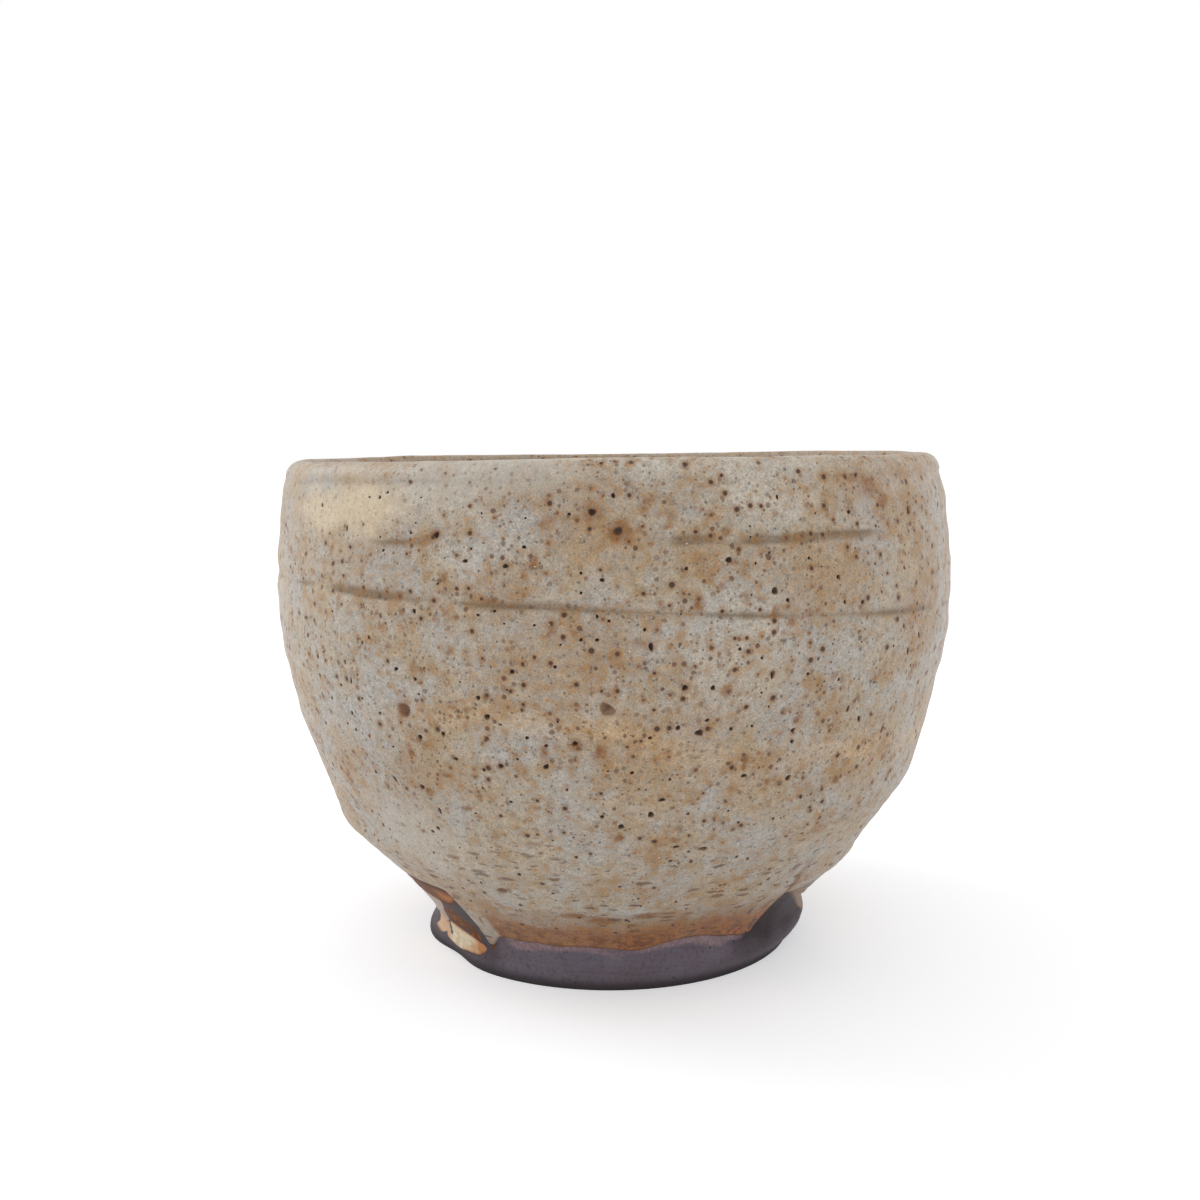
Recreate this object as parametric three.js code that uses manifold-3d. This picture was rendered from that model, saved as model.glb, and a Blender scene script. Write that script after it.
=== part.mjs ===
// A hand-thrown stoneware tea cup: clay bowl, turned foot ring, ash glaze outside and inside.
// Millimetres, +Z up, origin at the middle of the foot where it meets the table.
// Angles run anticlockwise seen from above, from 0 at +X; the front of the cup is at 270 degrees.
import * as THREE from "three";
import { mergeVertices } from "three/addons/utils/BufferGeometryUtils.js";
import Module from "manifold-3d";

// Overall sizes of the glazed cup
const CUP_HEIGHT = 65.2;
const BELLY_RADIUS = 45;
const BELLY_HEIGHT = 49.5;

// Rounded lip: radius of its crest, and how far it rounds over to each side and down
const LIP_RADIUS = 41.3;
const LIP_OUTER_ROUNDING = 2.05;
const LIP_INNER_ROUNDING = 1.5;
const LIP_ROUNDING_DEPTH = 2.2;

// Clay wall at the belly and the thick floor, both measured with the glaze on them
const WALL_THICKNESS = 4.3;
const FLOOR_THICKNESS = 6.6;

// Glaze coat, thinner where it ends above the foot
const GLAZE_THICKNESS = 0.6;
const GLAZE_END_THICKNESS = 0.3;

// Foot ring, the waist above it, and the hollow turned out inside it. The band that touches the
// table is a little off centre, and flattened where the cup was held.
const FOOT_HEIGHT = 4.5;
const FOOT_RADIUS = 26.1;
const FOOT_BEVEL_WIDTH = 1;
const FOOT_CONTACT_WIDTH = 3.6;
const FOOT_CONTACT_LEAN = 0.75;
const FOOT_CONTACT_LEAN_ANGLE = THREE.MathUtils.degToRad(200);
const FOOT_FLAT_DEPTH = 1.2;
const FOOT_FLAT_ANGLE = THREE.MathUtils.degToRad(213);
const FOOT_FLAT_HALF_ANGLE = THREE.MathUtils.degToRad(11);
const FOOT_INNER_RADIUS = 19.2;
const HOLLOW_DISH_DEPTH = 1.4;
const WAIST_RADIUS = 25.7;
const WAIST_LEAN = 0.5;
const WAIST_SOFTNESS = 0.25;

// Uneven lip: one side stands higher and further in, with a slow wave round it
const LIP_TILT = 0.55;
const LIP_LEAN = 0.3;
const LIP_WAVE = 0.1;

// Throwing grooves that the fingers left round the upper wall, the lower one on a slant
const GROOVE_DEPTH = 0.14;
const GROOVE_HALF_WIDTH = 1.5;
const UPPER_GROOVE_HEIGHT = 56.6;
const LOWER_GROOVE_HEIGHT = 48.6;
const LOWER_GROOVE_RISE = 2.4;
const LOWER_GROOVE_REACH = 5;
const LOWER_GROOVE_ANGLE = THREE.MathUtils.degToRad(200);
const upperGrooveShare = 0.7;

// Lower edge of the outer glaze, drawn up over the marks of the thumb and the two fingers that
// held the foot, and a little between them in front. Each mark has the angle of its middle, and
// before and after it a reach and the share of that reach over which the edge slopes.
const GLAZE_END_HEIGHT = 5.65;
const FINGER_MARK_RISE = 6.5;
const fingerMarks = [
  { middle: 92, before: [24, 0.55], after: [24, 0.55], riseShare: 0.8 },
  { middle: 210, before: [20, 0.55], after: [22, 0.3], riseShare: 1 },
  { middle: 290, before: [16, 1], after: [18, 1], riseShare: 0.17 },
  { middle: 315, before: [7, 0.8], after: [35, 0.7], riseShare: 0.88 },
];

// Island of glaze on the side of the foot
const PATCH_ANGLE = THREE.MathUtils.degToRad(216);
const PATCH_WIDTH = 11;
const PATCH_HEIGHT = 3.1;
const PATCH_MIDDLE_HEIGHT = 2.7;

// Fineness of the facets, and the distance under which two points are one
const COLUMNS = 60;
const PATCH_OUTLINE_STEPS = 16;
const SAME_POINT = 0.001;

// Wall below the belly's widest level, turned under it with a sharper edge on the left: share of
// that level's height, share of the belly's radius on the left and on the right
const wallShares = [
  [0.09, 0.574, 0.58], [0.111, 0.59, 0.596], [0.141, 0.615, 0.611], [0.182, 0.651, 0.645],
  [0.222, 0.687, 0.684], [0.263, 0.727, 0.73], [0.303, 0.768, 0.754], [0.347, 0.815, 0.785],
  [0.368, 0.833, 0.801], [0.388, 0.838, 0.818], [0.424, 0.851, 0.846], [0.465, 0.867, 0.878],
  [0.505, 0.884, 0.901], [0.566, 0.908, 0.921], [0.646, 0.94, 0.944], [0.727, 0.961, 0.962],
  [0.808, 0.98, 0.982], [0.889, 0.994, 0.997], [1, 1, 1],
];

// Wall above it: share of the way up to the lip's side, share of the way in to the lip's radius
const shoulderShares = [
  [0, 0], [0.2, 0.05], [0.4, 0.19], [0.6, 0.36], [0.75, 0.5], [0.88, 0.72], [1, 1],
];

// Inside from the middle of the floor: share of the way up to the belly, share of its radius there
const insideShares = [
  [0, 0], [0, 0.26], [0.04, 0.48], [0.12, 0.65], [0.24, 0.775], [0.4, 0.865], [0.58, 0.93],
  [0.77, 0.973], [1, 1],
];

// Outside of the foot: share of its height, share of its radius on the left and on the right
const footShares = [
  [0.22, 0.96, 0.968], [0.5, 0.945, 1.007], [0.75, 0.948, 1.019],
];

// Rings of facets on the bare clay up to the glaze's end, and on the glazed wall up to the lip
const bareRingShares = [0, 0.35, 0.7];
const wallRingShares = [
  0, 0.035, 0.08, 0.14, 0.2, 0.222, 0.26, 0.31, 0.37, 0.45, 0.54, 0.63, 0.69, 0.722, 0.751, 0.78,
  0.83, 0.864, 0.89, 0.916, 0.96, 1,
];
const lipRingShares = [0.28, 0.52, 0.76, 1];
const insideShoulderRingShares = [0.35, 0.7];
const dishRingShares = [[0.6, 0.75]];

const lipInsideRadius = LIP_RADIUS - LIP_INNER_ROUNDING;
const lipSideHeight = CUP_HEIGHT - LIP_ROUNDING_DEPTH;
const insideRadius = BELLY_RADIUS - WALL_THICKNESS;
const floorHeight = FOOT_HEIGHT + FLOOR_THICKNESS;

const wasm = await Module();
wasm.setup();

function smoothStep(share) {
  const clipped = THREE.MathUtils.clamp(share, 0, 1);
  return clipped * clipped * (3 - 2 * clipped);
}

// The greater of two lengths, with the corner between them rounded off
function softGreater(first, second, rounding) {
  return rounding * Math.log(Math.exp(first / rounding) + Math.exp(second / rounding));
}

// Blend of what a table says for the left of the cup and for the right
function leftToRight(left, right, angle) {
  return THREE.MathUtils.lerp(left, right, (1 + Math.cos(angle)) / 2);
}

// Signed turn from one angle to another, in degrees between -180 and 180
function turnBetween(from, to) {
  return THREE.MathUtils.euclideanModulo(to - from + 180, 360) - 180;
}

// Smooth reading of a table of [place, value] rows: a cubic between the rows beside the place
function readShares(rows, place) {
  const last = rows.length - 1;
  const index = THREE.MathUtils.clamp(rows.findLastIndex((row) => row[0] <= place), 0, last - 1);
  const slopeAt = (row) => {
    const before = rows[Math.max(row - 1, 0)];
    const after = rows[Math.min(row + 1, last)];
    return (after[1] - before[1]) / (after[0] - before[0]);
  };
  const step = rows[index + 1][0] - rows[index][0];
  const rise = rows[index + 1][1] - rows[index][1];
  const along = (place - rows[index][0]) / step;
  const bendBelow = (slopeAt(index) * step - rise) * (1 - along);
  const bendAbove = (rise - slopeAt(index + 1) * step) * along;
  return rows[index][1] + rise * along + along * (1 - along) * (bendBelow + bendAbove);
}

// How far the wall at this height is lifted by the uneven lip
function lift(height, angle) {
  const lip = LIP_TILT * Math.cos(angle) + LIP_WAVE * Math.sin(3 * angle);
  return lip * smoothStep((height - floorHeight) / (CUP_HEIGHT - floorHeight));
}

// How far the lip's circle stands out at this angle because it is off centre
function lipOffset(angle) {
  return -LIP_LEAN * Math.cos(angle);
}

function glazeEndHeight(angle) {
  const rises = fingerMarks.map(({ middle, before, after, riseShare }) => {
    const turn = turnBetween(middle, THREE.MathUtils.radToDeg(angle));
    const [reach, slopeShare] = turn < 0 ? before : after;
    return riseShare * smoothStep((1 - Math.abs(turn) / reach) / slopeShare);
  });
  return GLAZE_END_HEIGHT + FINGER_MARK_RISE * Math.max(...rises);
}

function lowerGrooveSlant(angle) {
  return LOWER_GROOVE_RISE * Math.cos(angle - LOWER_GROOVE_ANGLE);
}

// Depth of both throwing grooves at a height, each a soft channel round the wall
function grooveDepth(height, angle) {
  const channel = (middle) => Math.exp(-(((height - middle) / GROOVE_HALF_WIDTH) ** 2));
  const lower = channel(LOWER_GROOVE_HEIGHT + lowerGrooveSlant(angle));
  return GROOVE_DEPTH * (lower + upperGrooveShare * channel(UPPER_GROOVE_HEIGHT));
}

// Radius of the bare foot and waist, which lean to one side
function waistRadius(angle) {
  return WAIST_RADIUS + WAIST_LEAN * Math.cos(angle);
}

// Radius of the glazed outside: belly and shoulder less the grooves, on top of the waist
function outsideRadius(height, angle) {
  const upward = (height - BELLY_HEIGHT) / (lipSideHeight - BELLY_HEIGHT);
  const lipSideRadius = LIP_RADIUS + LIP_OUTER_ROUNDING + lipOffset(angle);
  const inward = (BELLY_RADIUS - lipSideRadius) * readShares(shoulderShares, upward);
  const [left, right] = [1, 2].map((side) => {
    const rows = wallShares.map((row) => [row[0], row[side]]);
    return BELLY_RADIUS * readShares(rows, height / BELLY_HEIGHT);
  });
  const smooth = upward > 0 ? BELLY_RADIUS - inward : leftToRight(left, right, angle);
  const wall = smooth - grooveDepth(height, angle);
  return softGreater(wall, waistRadius(angle) + GLAZE_THICKNESS, WAIST_SOFTNESS);
}

// Ring on the bare clay between the foot and the end of the glaze
function bareRing(share) {
  return (angle) => {
    const height = THREE.MathUtils.lerp(FOOT_HEIGHT, glazeEndHeight(angle), share);
    return [outsideRadius(height, angle) - GLAZE_THICKNESS, height];
  };
}

// Ring on the wall: on the clay when glazed is 0, on the glaze over it when glazed is 1
function wallRing(share, glazed) {
  return (angle) => {
    const level = THREE.MathUtils.lerp(GLAZE_END_HEIGHT, lipSideHeight, share);
    const nearGroove = Math.exp(-(((level - LOWER_GROOVE_HEIGHT) / LOWER_GROOVE_REACH) ** 2));
    const drawnUp = (glazeEndHeight(angle) - GLAZE_END_HEIGHT) * (1 - share) ** 4;
    const height = level + drawnUp + lowerGrooveSlant(angle) * nearGroove;
    const full = smoothStep(share / wallRingShares[2]);
    const coat = THREE.MathUtils.lerp(GLAZE_END_THICKNESS, GLAZE_THICKNESS, full);
    const clayRadius = outsideRadius(height, angle) - GLAZE_THICKNESS;
    return [clayRadius + glazed * coat, height + lift(height, angle)];
  };
}

// Ring on the lip's rounding, from its side at share 0 to its crest at share 1
function lipRing(share, rounding, glazed) {
  const turn = (share * Math.PI) / 2;
  const coat = (1 - glazed) * GLAZE_THICKNESS;
  const across = (Math.abs(rounding) - coat) * Math.sign(rounding) * Math.cos(turn);
  const height = lipSideHeight + (LIP_ROUNDING_DEPTH - coat) * Math.sin(turn);
  return (angle) => [LIP_RADIUS + lipOffset(angle) + across, height + lift(height, angle)];
}

// Rings of the inside from the middle of the floor to the lip's side, on the clay or the glaze.
// Above the belly the inside draws in with the shoulder.
function insideRings(glazed) {
  const bowl = insideShares.map(([up, out]) => {
    return new THREE.Vector2(insideRadius * out, THREE.MathUtils.lerp(floorHeight, BELLY_HEIGHT, up));
  });
  const shoulder = insideShoulderRingShares.map((up) => {
    const inward = readShares(shoulderShares, up);
    const height = THREE.MathUtils.lerp(BELLY_HEIGHT, lipSideHeight, up);
    return new THREE.Vector2(THREE.MathUtils.lerp(insideRadius, lipInsideRadius, inward), height);
  });
  const outline = [...bowl, ...shoulder, new THREE.Vector2(lipInsideRadius, lipSideHeight)];
  const curve = new THREE.SplineCurve(outline);
  return outline.map((point, index) => {
    const along = curve.getTangent(index / (outline.length - 1));
    const coat = (1 - glazed) * GLAZE_THICKNESS;
    const radius = index === 0 ? 0 : point.x + along.y * coat;
    const height = point.y - along.x * coat;
    const toLip = smoothStep((height - BELLY_HEIGHT) / (lipSideHeight - BELLY_HEIGHT));
    return (angle) => [radius + toLip * lipOffset(angle), height + lift(height, angle)];
  });
}

function outsideRings(glazed) {
  const wall = wallRingShares.map((share) => wallRing(share, glazed));
  const lip = lipRingShares.map((share) => lipRing(share, LIP_OUTER_ROUNDING, glazed));
  return [...wall, ...lip];
}

function innerLipRings(glazed) {
  return lipRingShares.map((share) => lipRing(share, -LIP_INNER_ROUNDING, glazed));
}

// Rings of the foot's outside, from the table up to its seat under the bowl
function footSideRings() {
  const rings = footShares.map(([up, left, right]) => (angle) => {
    return [FOOT_RADIUS * leftToRight(left, right, angle), FOOT_HEIGHT * up];
  });
  return [...rings, (angle) => [waistRadius(angle), FOOT_HEIGHT]];
}

// Closed body through rings round the axis, each ring a function of the angle.
// Where two bodies share a surface, one is crossed, so that both split its facets alike.
function turnedBody(rings, crossed) {
  const outline = rings.map((ring) => new THREE.Vector2(...ring(0)));
  const geometry = new THREE.LatheGeometry(outline, COLUMNS);
  const position = geometry.getAttribute("position");
  for (let vertex = 0; vertex < position.count; vertex += 1) {
    const column = Math.floor(vertex / rings.length) % COLUMNS;
    const angle = (2 * Math.PI * column) / COLUMNS;
    const [radius, height] = rings[vertex % rings.length](angle);
    position.setXYZ(vertex, radius * Math.cos(angle), radius * Math.sin(angle), height);
  }
  if (crossed) crossFacets(geometry);
  return closeSeams(geometry);
}

// Splits each four-sided facet along its other diagonal
function crossFacets(geometry) {
  const corners = geometry.getIndex();
  for (let facet = 0; facet < corners.count; facet += 6) {
    const [a, b, d, c] = [0, 1, 2, 3].map((corner) => corners.getX(facet + corner));
    [a, b, c, a, c, d].forEach((corner, place) => corners.setX(facet + place, corner));
  }
}

// One body whose neighbouring facets share their corners, with no facet of zero width
function closeSeams(geometry) {
  geometry.deleteAttribute("normal");
  geometry.deleteAttribute("uv");
  const merged = mergeVertices(geometry, SAME_POINT);
  const corners = Array.from(merged.getIndex().array);
  const kept = [];
  for (let start = 0; start < corners.length; start += 3) {
    const triangle = corners.slice(start, start + 3);
    if (new Set(triangle).size === 3) kept.push(...triangle);
  }
  merged.setIndex(kept);
  merged.computeVertexNormals();
  return merged;
}

function toSolid(geometry) {
  return new wasm.Manifold(new wasm.Mesh({
    numProp: 3,
    vertProperties: new Float32Array(geometry.getAttribute("position").array),
    triVerts: new Uint32Array(geometry.getIndex().array),
  }));
}

function fromSolid(solid) {
  const { vertProperties, triVerts } = solid.getMesh();
  const geometry = new THREE.BufferGeometry();
  geometry.setAttribute("position", new THREE.BufferAttribute(vertProperties, 3));
  geometry.setIndex(new THREE.BufferAttribute(triVerts, 1));
  geometry.computeVertexNormals();
  return geometry;
}

function clayBowl() {
  const dish = dishRingShares.map(([out, up]) => () => {
    return [FOOT_INNER_RADIUS * out, FOOT_HEIGHT + HOLLOW_DISH_DEPTH * up];
  });
  const rings = [
    () => [0, FOOT_HEIGHT + HOLLOW_DISH_DEPTH],
    ...dish,
    () => [FOOT_INNER_RADIUS, FOOT_HEIGHT],
    ...bareRingShares.map(bareRing),
    ...outsideRings(0),
    ...innerLipRings(0).reverse().slice(1),
    ...insideRings(0).reverse(),
  ];
  return turnedBody(rings, false);
}

function footRing() {
  const contactOutside = FOOT_RADIUS - FOOT_BEVEL_WIDTH;
  const contactInside = contactOutside - FOOT_CONTACT_WIDTH;
  const contactRing = (angle) => {
    const flat = Math.exp(-(((angle - FOOT_FLAT_ANGLE) / FOOT_FLAT_HALF_ANGLE) ** 2));
    const lean = FOOT_CONTACT_LEAN * Math.cos(angle - FOOT_CONTACT_LEAN_ANGLE);
    return [contactOutside + lean - FOOT_FLAT_DEPTH * flat, 0];
  };
  const rings = [
    () => [contactInside, 0],
    contactRing,
    ...footSideRings(),
    () => [FOOT_INNER_RADIUS, FOOT_HEIGHT],
    () => [contactInside, 0],
  ];
  return turnedBody(rings, false);
}

function outerGlaze() {
  const surface = outsideRings(1);
  return turnedBody([...surface, ...outsideRings(0).reverse(), surface[0]], true);
}

function innerGlaze() {
  const under = [...insideRings(0), ...innerLipRings(0)];
  const surface = [...insideRings(1), ...innerLipRings(1)];
  return turnedBody([...under, ...surface.reverse()], true);
}

// An oval cut from a thin coat all round the foot, so that it lies flush on the clay
function footGlazePatch() {
  const clay = footSideRings();
  const surface = clay.map((ring) => (angle) => {
    const [radius, height] = ring(angle);
    return [radius + GLAZE_THICKNESS, height];
  });
  const coat = turnedBody([...surface, ...clay.reverse(), surface[0]], true);
  const oval = new THREE.Shape().ellipse(0, 0, PATCH_HEIGHT / 2, PATCH_WIDTH / 2);
  const settings = { depth: BELLY_RADIUS, bevelEnabled: false, curveSegments: PATCH_OUTLINE_STEPS };
  const cutter = new THREE.ExtrudeGeometry(oval, settings);
  cutter.rotateY(Math.PI / 2);
  cutter.rotateZ(PATCH_ANGLE);
  cutter.translate(0, 0, PATCH_MIDDLE_HEIGHT);
  return fromSolid(toSolid(coat).intersect(toSolid(closeSeams(cutter))));
}

const clay = { color: 0x5a5058, roughness: 0.75, metalness: 0 };
const ashGlaze = { color: 0x9e8e7f, roughness: 0.45, metalness: 0 };
const creamGlaze = { color: 0xcdb08a, roughness: 0.4, metalness: 0 };

const cup = new THREE.Group();
function add(name, geometry, finish) {
  const mesh = new THREE.Mesh(geometry, new THREE.MeshStandardMaterial(finish));
  mesh.name = name;
  cup.add(mesh);
}

add("clay_bowl", clayBowl(), clay);
add("foot_ring", footRing(), clay);
add("outer_glaze", outerGlaze(), ashGlaze);
add("inner_glaze", innerGlaze(), ashGlaze);
add("foot_glaze_patch", footGlazePatch(), creamGlaze);

export default cup;
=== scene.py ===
import bpy
import numpy as np
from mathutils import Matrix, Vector


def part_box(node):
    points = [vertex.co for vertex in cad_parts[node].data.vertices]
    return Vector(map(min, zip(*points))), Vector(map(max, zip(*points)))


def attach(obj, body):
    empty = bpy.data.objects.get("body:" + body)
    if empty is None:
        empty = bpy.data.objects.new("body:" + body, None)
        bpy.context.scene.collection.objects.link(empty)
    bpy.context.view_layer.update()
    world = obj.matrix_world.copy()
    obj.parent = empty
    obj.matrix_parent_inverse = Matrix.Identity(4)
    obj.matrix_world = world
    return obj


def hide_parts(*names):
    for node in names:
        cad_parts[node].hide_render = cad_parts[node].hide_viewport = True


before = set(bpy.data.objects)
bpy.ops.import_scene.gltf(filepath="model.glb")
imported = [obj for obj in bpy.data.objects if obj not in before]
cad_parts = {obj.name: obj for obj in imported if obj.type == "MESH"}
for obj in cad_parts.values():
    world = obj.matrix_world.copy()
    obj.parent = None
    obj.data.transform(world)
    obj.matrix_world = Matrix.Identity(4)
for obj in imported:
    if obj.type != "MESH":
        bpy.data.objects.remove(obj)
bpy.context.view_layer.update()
scene = bpy.context.scene
MILLIMETRE = 0.001

# Camera: close to the cup and a little above its lip, looking slightly down. Its place is in
# millimetres from the middle of the foot.
CAMERA_PLACE = np.array([-1.9, -180.1, 66.82])
CAMERA_TILT_DOWN = np.radians(6.785)
CAMERA_FOCAL_LENGTH = 39.37
CAMERA_NEAREST = 10
SENSOR_WIDTH = 36.0

camera = bpy.data.objects.new("camera", bpy.data.cameras.new("camera"))
camera.data.sensor_width = SENSOR_WIDTH
camera.data.lens = CAMERA_FOCAL_LENGTH
camera.data.clip_start = CAMERA_NEAREST * MILLIMETRE
camera.location = CAMERA_PLACE * MILLIMETRE
camera.rotation_euler = (np.pi / 2 - CAMERA_TILT_DOWN, 0, 0)
scene.collection.objects.link(camera)
scene.camera = camera
scene.view_settings.view_transform = "Standard"


# Floor and light: a white table in a light box. The floor keeps the cup's soft shadow, and its
# colour for the camera is lifted towards white. Two soft lamps and the white walls light the cup.
class Signal:
    """A socket of a shader. Sums and products of signals add Math nodes to its tree."""

    def __init__(self, tree, socket=None):
        self.tree = tree
        self.socket = socket

    def node(self, kind, settings=None, values=None, output=0):
        """Adds a node: its settings are set first, then each input gets a value or a link."""
        made = self.tree.nodes.new("ShaderNode" + kind)
        for name, setting in (settings or {}).items():
            setattr(made, name, setting)
        for name, value in (values or {}).items():
            if isinstance(value, Signal):
                self.tree.links.new(value.socket, made.inputs[name])
            else:
                made.inputs[name].default_value = value
        return Signal(self.tree, made.outputs[output] if made.outputs else None)

    def other(self, output):
        """Another output of the same node."""
        return Signal(self.tree, self.socket.node.outputs[output])

    def attribute(self, key):
        """The mesh's attribute of that name."""
        return self.node("Attribute", {"attribute_name": key}, output="Fac")

    def maths(self, operation, first, second):
        return self.node("Math", {"operation": operation}, {0: first, 1: second})

    def __add__(self, term):
        return self.maths("ADD", self, term)

    def __sub__(self, term):
        return self.maths("SUBTRACT", self, term)

    def __rsub__(self, term):
        return self.maths("SUBTRACT", term, self)

    def __mul__(self, factor):
        return self.maths("MULTIPLY", self, factor)

    def __truediv__(self, divisor):
        return self.maths("DIVIDE", self, divisor)

    __radd__ = __add__
    __rmul__ = __mul__

    def most(self, second):
        return self.maths("MAXIMUM", self, second)

    def rising(self, low, high):
        """Smooth step of this signal: 0 at low, 1 at high."""
        ends = {"Value": self, "From Min": low, "From Max": high}
        return self.node("MapRange", {"interpolation_type": "SMOOTHSTEP"}, ends)

    def between(self, low, high):
        """The colour between two screen colours, by this share."""
        ends = {0: self, 6: paint(*low), 7: paint(*high)}
        return self.node("Mix", {"data_type": "RGBA"}, ends, output=2)

    def blend(self, over, share, blend_type="MIX"):
        """This colour with another one laid over it, by share."""
        settings = {"data_type": "RGBA", "blend_type": blend_type}
        return self.node("Mix", settings, {0: share, 6: self, 7: over}, output=2)

    def coats(self, layers):
        """This colour with others laid over it one after another, each by its share."""
        colour = self
        for over, share in layers:
            colour = colour.blend(over if isinstance(over, Signal) else paint(*over), share)
        return colour

    def scaled(self, factors):
        """This vector with each of its components times a factor."""
        return self.node("VectorMath", {"operation": "MULTIPLY"}, {0: self, 1: factors})

    def moved(self, offset):
        """This vector plus another."""
        return self.node("VectorMath", {"operation": "ADD"}, {0: self, 1: offset})

    def noise(self, size, detail=2.0, roughness=0.5):
        """Soft noise with features of that size in millimetres, around a half."""
        values = {"Vector": self, "Scale": 1 / (size * MILLIMETRE)}
        return self.node("TexNoise", {}, {**values, "Detail": detail, "Roughness": roughness})

    def spots(self, spacing, radius, crowd, softness=0.35):
        """Round spots up to a radius, both in millimetres, one to a cell of the spacing.
        A cell has a spot only where its random value is above 1 - crowd."""
        values = {"Vector": self, "Scale": 1 / (spacing * MILLIMETRE)}
        distance = self.node("TexVoronoi", {}, values)
        luck = self.node("SeparateColor", {}, {0: distance.other("Color")})
        share = (luck - (1 - crowd)).most(0) / crowd
        size = self.maths("POWER", share, 0.5) * (radius / spacing)
        return distance.rising(size, size * (1 - softness))


def shader_of(owner):
    """An emptied shader of a material or a world, to add nodes to."""
    owner.use_nodes = True
    owner.node_tree.nodes.clear()
    return Signal(owner.node_tree)


def paint(red, green, blue):
    """A colour given as it looks on a screen, from 0 to 255, as a shader wants it."""
    share = np.array([red, green, blue]) / 255
    linear = np.where(share <= 0.04045, share / 12.92, ((share + 0.055) / 1.055) ** 2.4)
    return (*linear.tolist(), 1.0)


def seen_rays(shader):
    """1 for the rays that the camera sees by, straight or by gloss or glass, and 0 for others."""
    rays = shader.node("LightPath", output="Is Camera Ray")
    return rays.most(rays.other("Is Glossy Ray")).most(rays.other("Is Transmission Ray"))


WHITE = (255, 255, 255)
FLOOR_REACH = 3.0
FLOOR_COLOUR = (236, 238, 242)
FLOOR_LIFTS = (0.38, 0.44)
FLOOR_LIFT_REACHES = (0.06, 0.3)
WALL_LIGHT = 0.8
BACKDROP_LIGHT = 1.0

floor_mesh = bpy.data.meshes.new("floor")
corner_signs = [(-1, -1, 0), (1, -1, 0), (1, 1, 0), (-1, 1, 0)]
floor_mesh.from_pydata((np.array(corner_signs) * FLOOR_REACH).tolist(), [], [(0, 1, 2, 3)])
floor = bpy.data.objects.new("floor", floor_mesh)
scene.collection.objects.link(floor)

floor_material = bpy.data.materials.new("white_table")
table = shader_of(floor_material)
matt = table.node("BsdfDiffuse", {}, {"Color": paint(*FLOOR_COLOUR)})
place = table.node("TexCoord", output="Object")
away = place.node("VectorMath", {"operation": "LENGTH"}, {0: place}, output="Value")
# The lift is smaller near the cup than far from it: a painted shadow that deepens the floor's shade
# round the foot.
lifted = away.rising(*FLOOR_LIFT_REACHES) * (FLOOR_LIFTS[1] - FLOOR_LIFTS[0]) + FLOOR_LIFTS[0]
glow_colour = (seen_rays(table) * lifted).between((0, 0, 0), WHITE)
glow = table.node("Emission", {}, {"Color": glow_colour, "Strength": 1.0})
surface = table.node("AddShader", {}, {0: matt, 1: glow})
table.node("OutputMaterial", {}, {"Surface": surface})
floor_mesh.materials.append(floor_material)

scene.world = bpy.data.worlds.new("light_box")
room = shader_of(scene.world)
walls = room.node("Background", {}, {"Color": paint(*WHITE), "Strength": WALL_LIGHT})
backdrop = room.node("Background", {}, {"Color": paint(*WHITE), "Strength": BACKDROP_LIGHT})
surface = room.node("MixShader", {}, {0: seen_rays(room), 1: walls, 2: backdrop})
room.node("OutputWorld", {}, {"Surface": surface})

# Place in metres and power of each square lamp, turned towards the cup
LAMPS = {"left_lamp": ((-0.8, 0.32, 0.6), 2.8), "right_lamp": ((0.85, 0.35, 0.45), 0.7)}
LAMP_SIZE = 0.5
LAMP_AIM = np.array([0, 0, 0.03])

for name, (place, power) in LAMPS.items():
    lamp = bpy.data.objects.new(name, bpy.data.lights.new(name, "AREA"))
    lamp.data.shape = "SQUARE"
    lamp.data.size = LAMP_SIZE
    lamp.data.energy = power
    lamp.location = place
    lamp.rotation_euler = Vector(LAMP_AIM - place).to_track_quat("-Z", "Y").to_euler()
    scene.collection.objects.link(lamp)


# Clay bowl: the thrown body of dark stoneware, turned to a cone under the belly. Glaze covers it
# all but the marks of the fingers above the foot and the shallow dish that the foot encloses.
FOOT_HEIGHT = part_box("foot_ring")[1].z / MILLIMETRE
BELLY_RADIUS = 45.0
BELLY_HEIGHT = 49.5
LIP_TILT = 0.55
LIP_LEAN = 0.3
LIP_WAVE = 0.1
LIP_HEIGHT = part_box("outer_glaze")[1].z / MILLIMETRE - LIP_TILT
LIP_RADIUS = 41.3
LIP_OUTER_ROUNDING = 2.05
LIP_INNER_ROUNDING = 1.5
LIP_ROUNDING_DEPTH = 2.2
LIP_SIDE_HEIGHT = LIP_HEIGHT - LIP_ROUNDING_DEPTH
WALL_THICKNESS = 4.3
FLOOR_THICKNESS = 6.6
FLOOR_TOP = FOOT_HEIGHT + FLOOR_THICKNESS
GLAZE_THICKNESS = 0.6
FOOT_INNER_RADIUS = 19.2
HOLLOW_DISH_DEPTH = 1.4
HOLLOW_LINES = 9
HOLLOW_LINE_DEPTH = 0.04
WAIST_RADIUS = 25.7
WAIST_LEAN = 0.5
WAIST_SOFTNESS = 0.25

# Share of the belly's height, and share of its radius on the left and on the right
WALL_SHARES = [
    (0.09, 0.574, 0.58), (0.111, 0.59, 0.596), (0.141, 0.615, 0.611), (0.182, 0.651, 0.645),
    (0.222, 0.687, 0.684), (0.263, 0.727, 0.73), (0.303, 0.768, 0.754), (0.347, 0.815, 0.785),
    (0.368, 0.833, 0.801), (0.388, 0.838, 0.818), (0.424, 0.851, 0.846), (0.465, 0.867, 0.878),
    (0.505, 0.884, 0.901), (0.566, 0.908, 0.921), (0.646, 0.94, 0.944), (0.727, 0.961, 0.962),
    (0.808, 0.98, 0.982), (0.889, 0.994, 0.997), (1, 1, 1),
]
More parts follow.
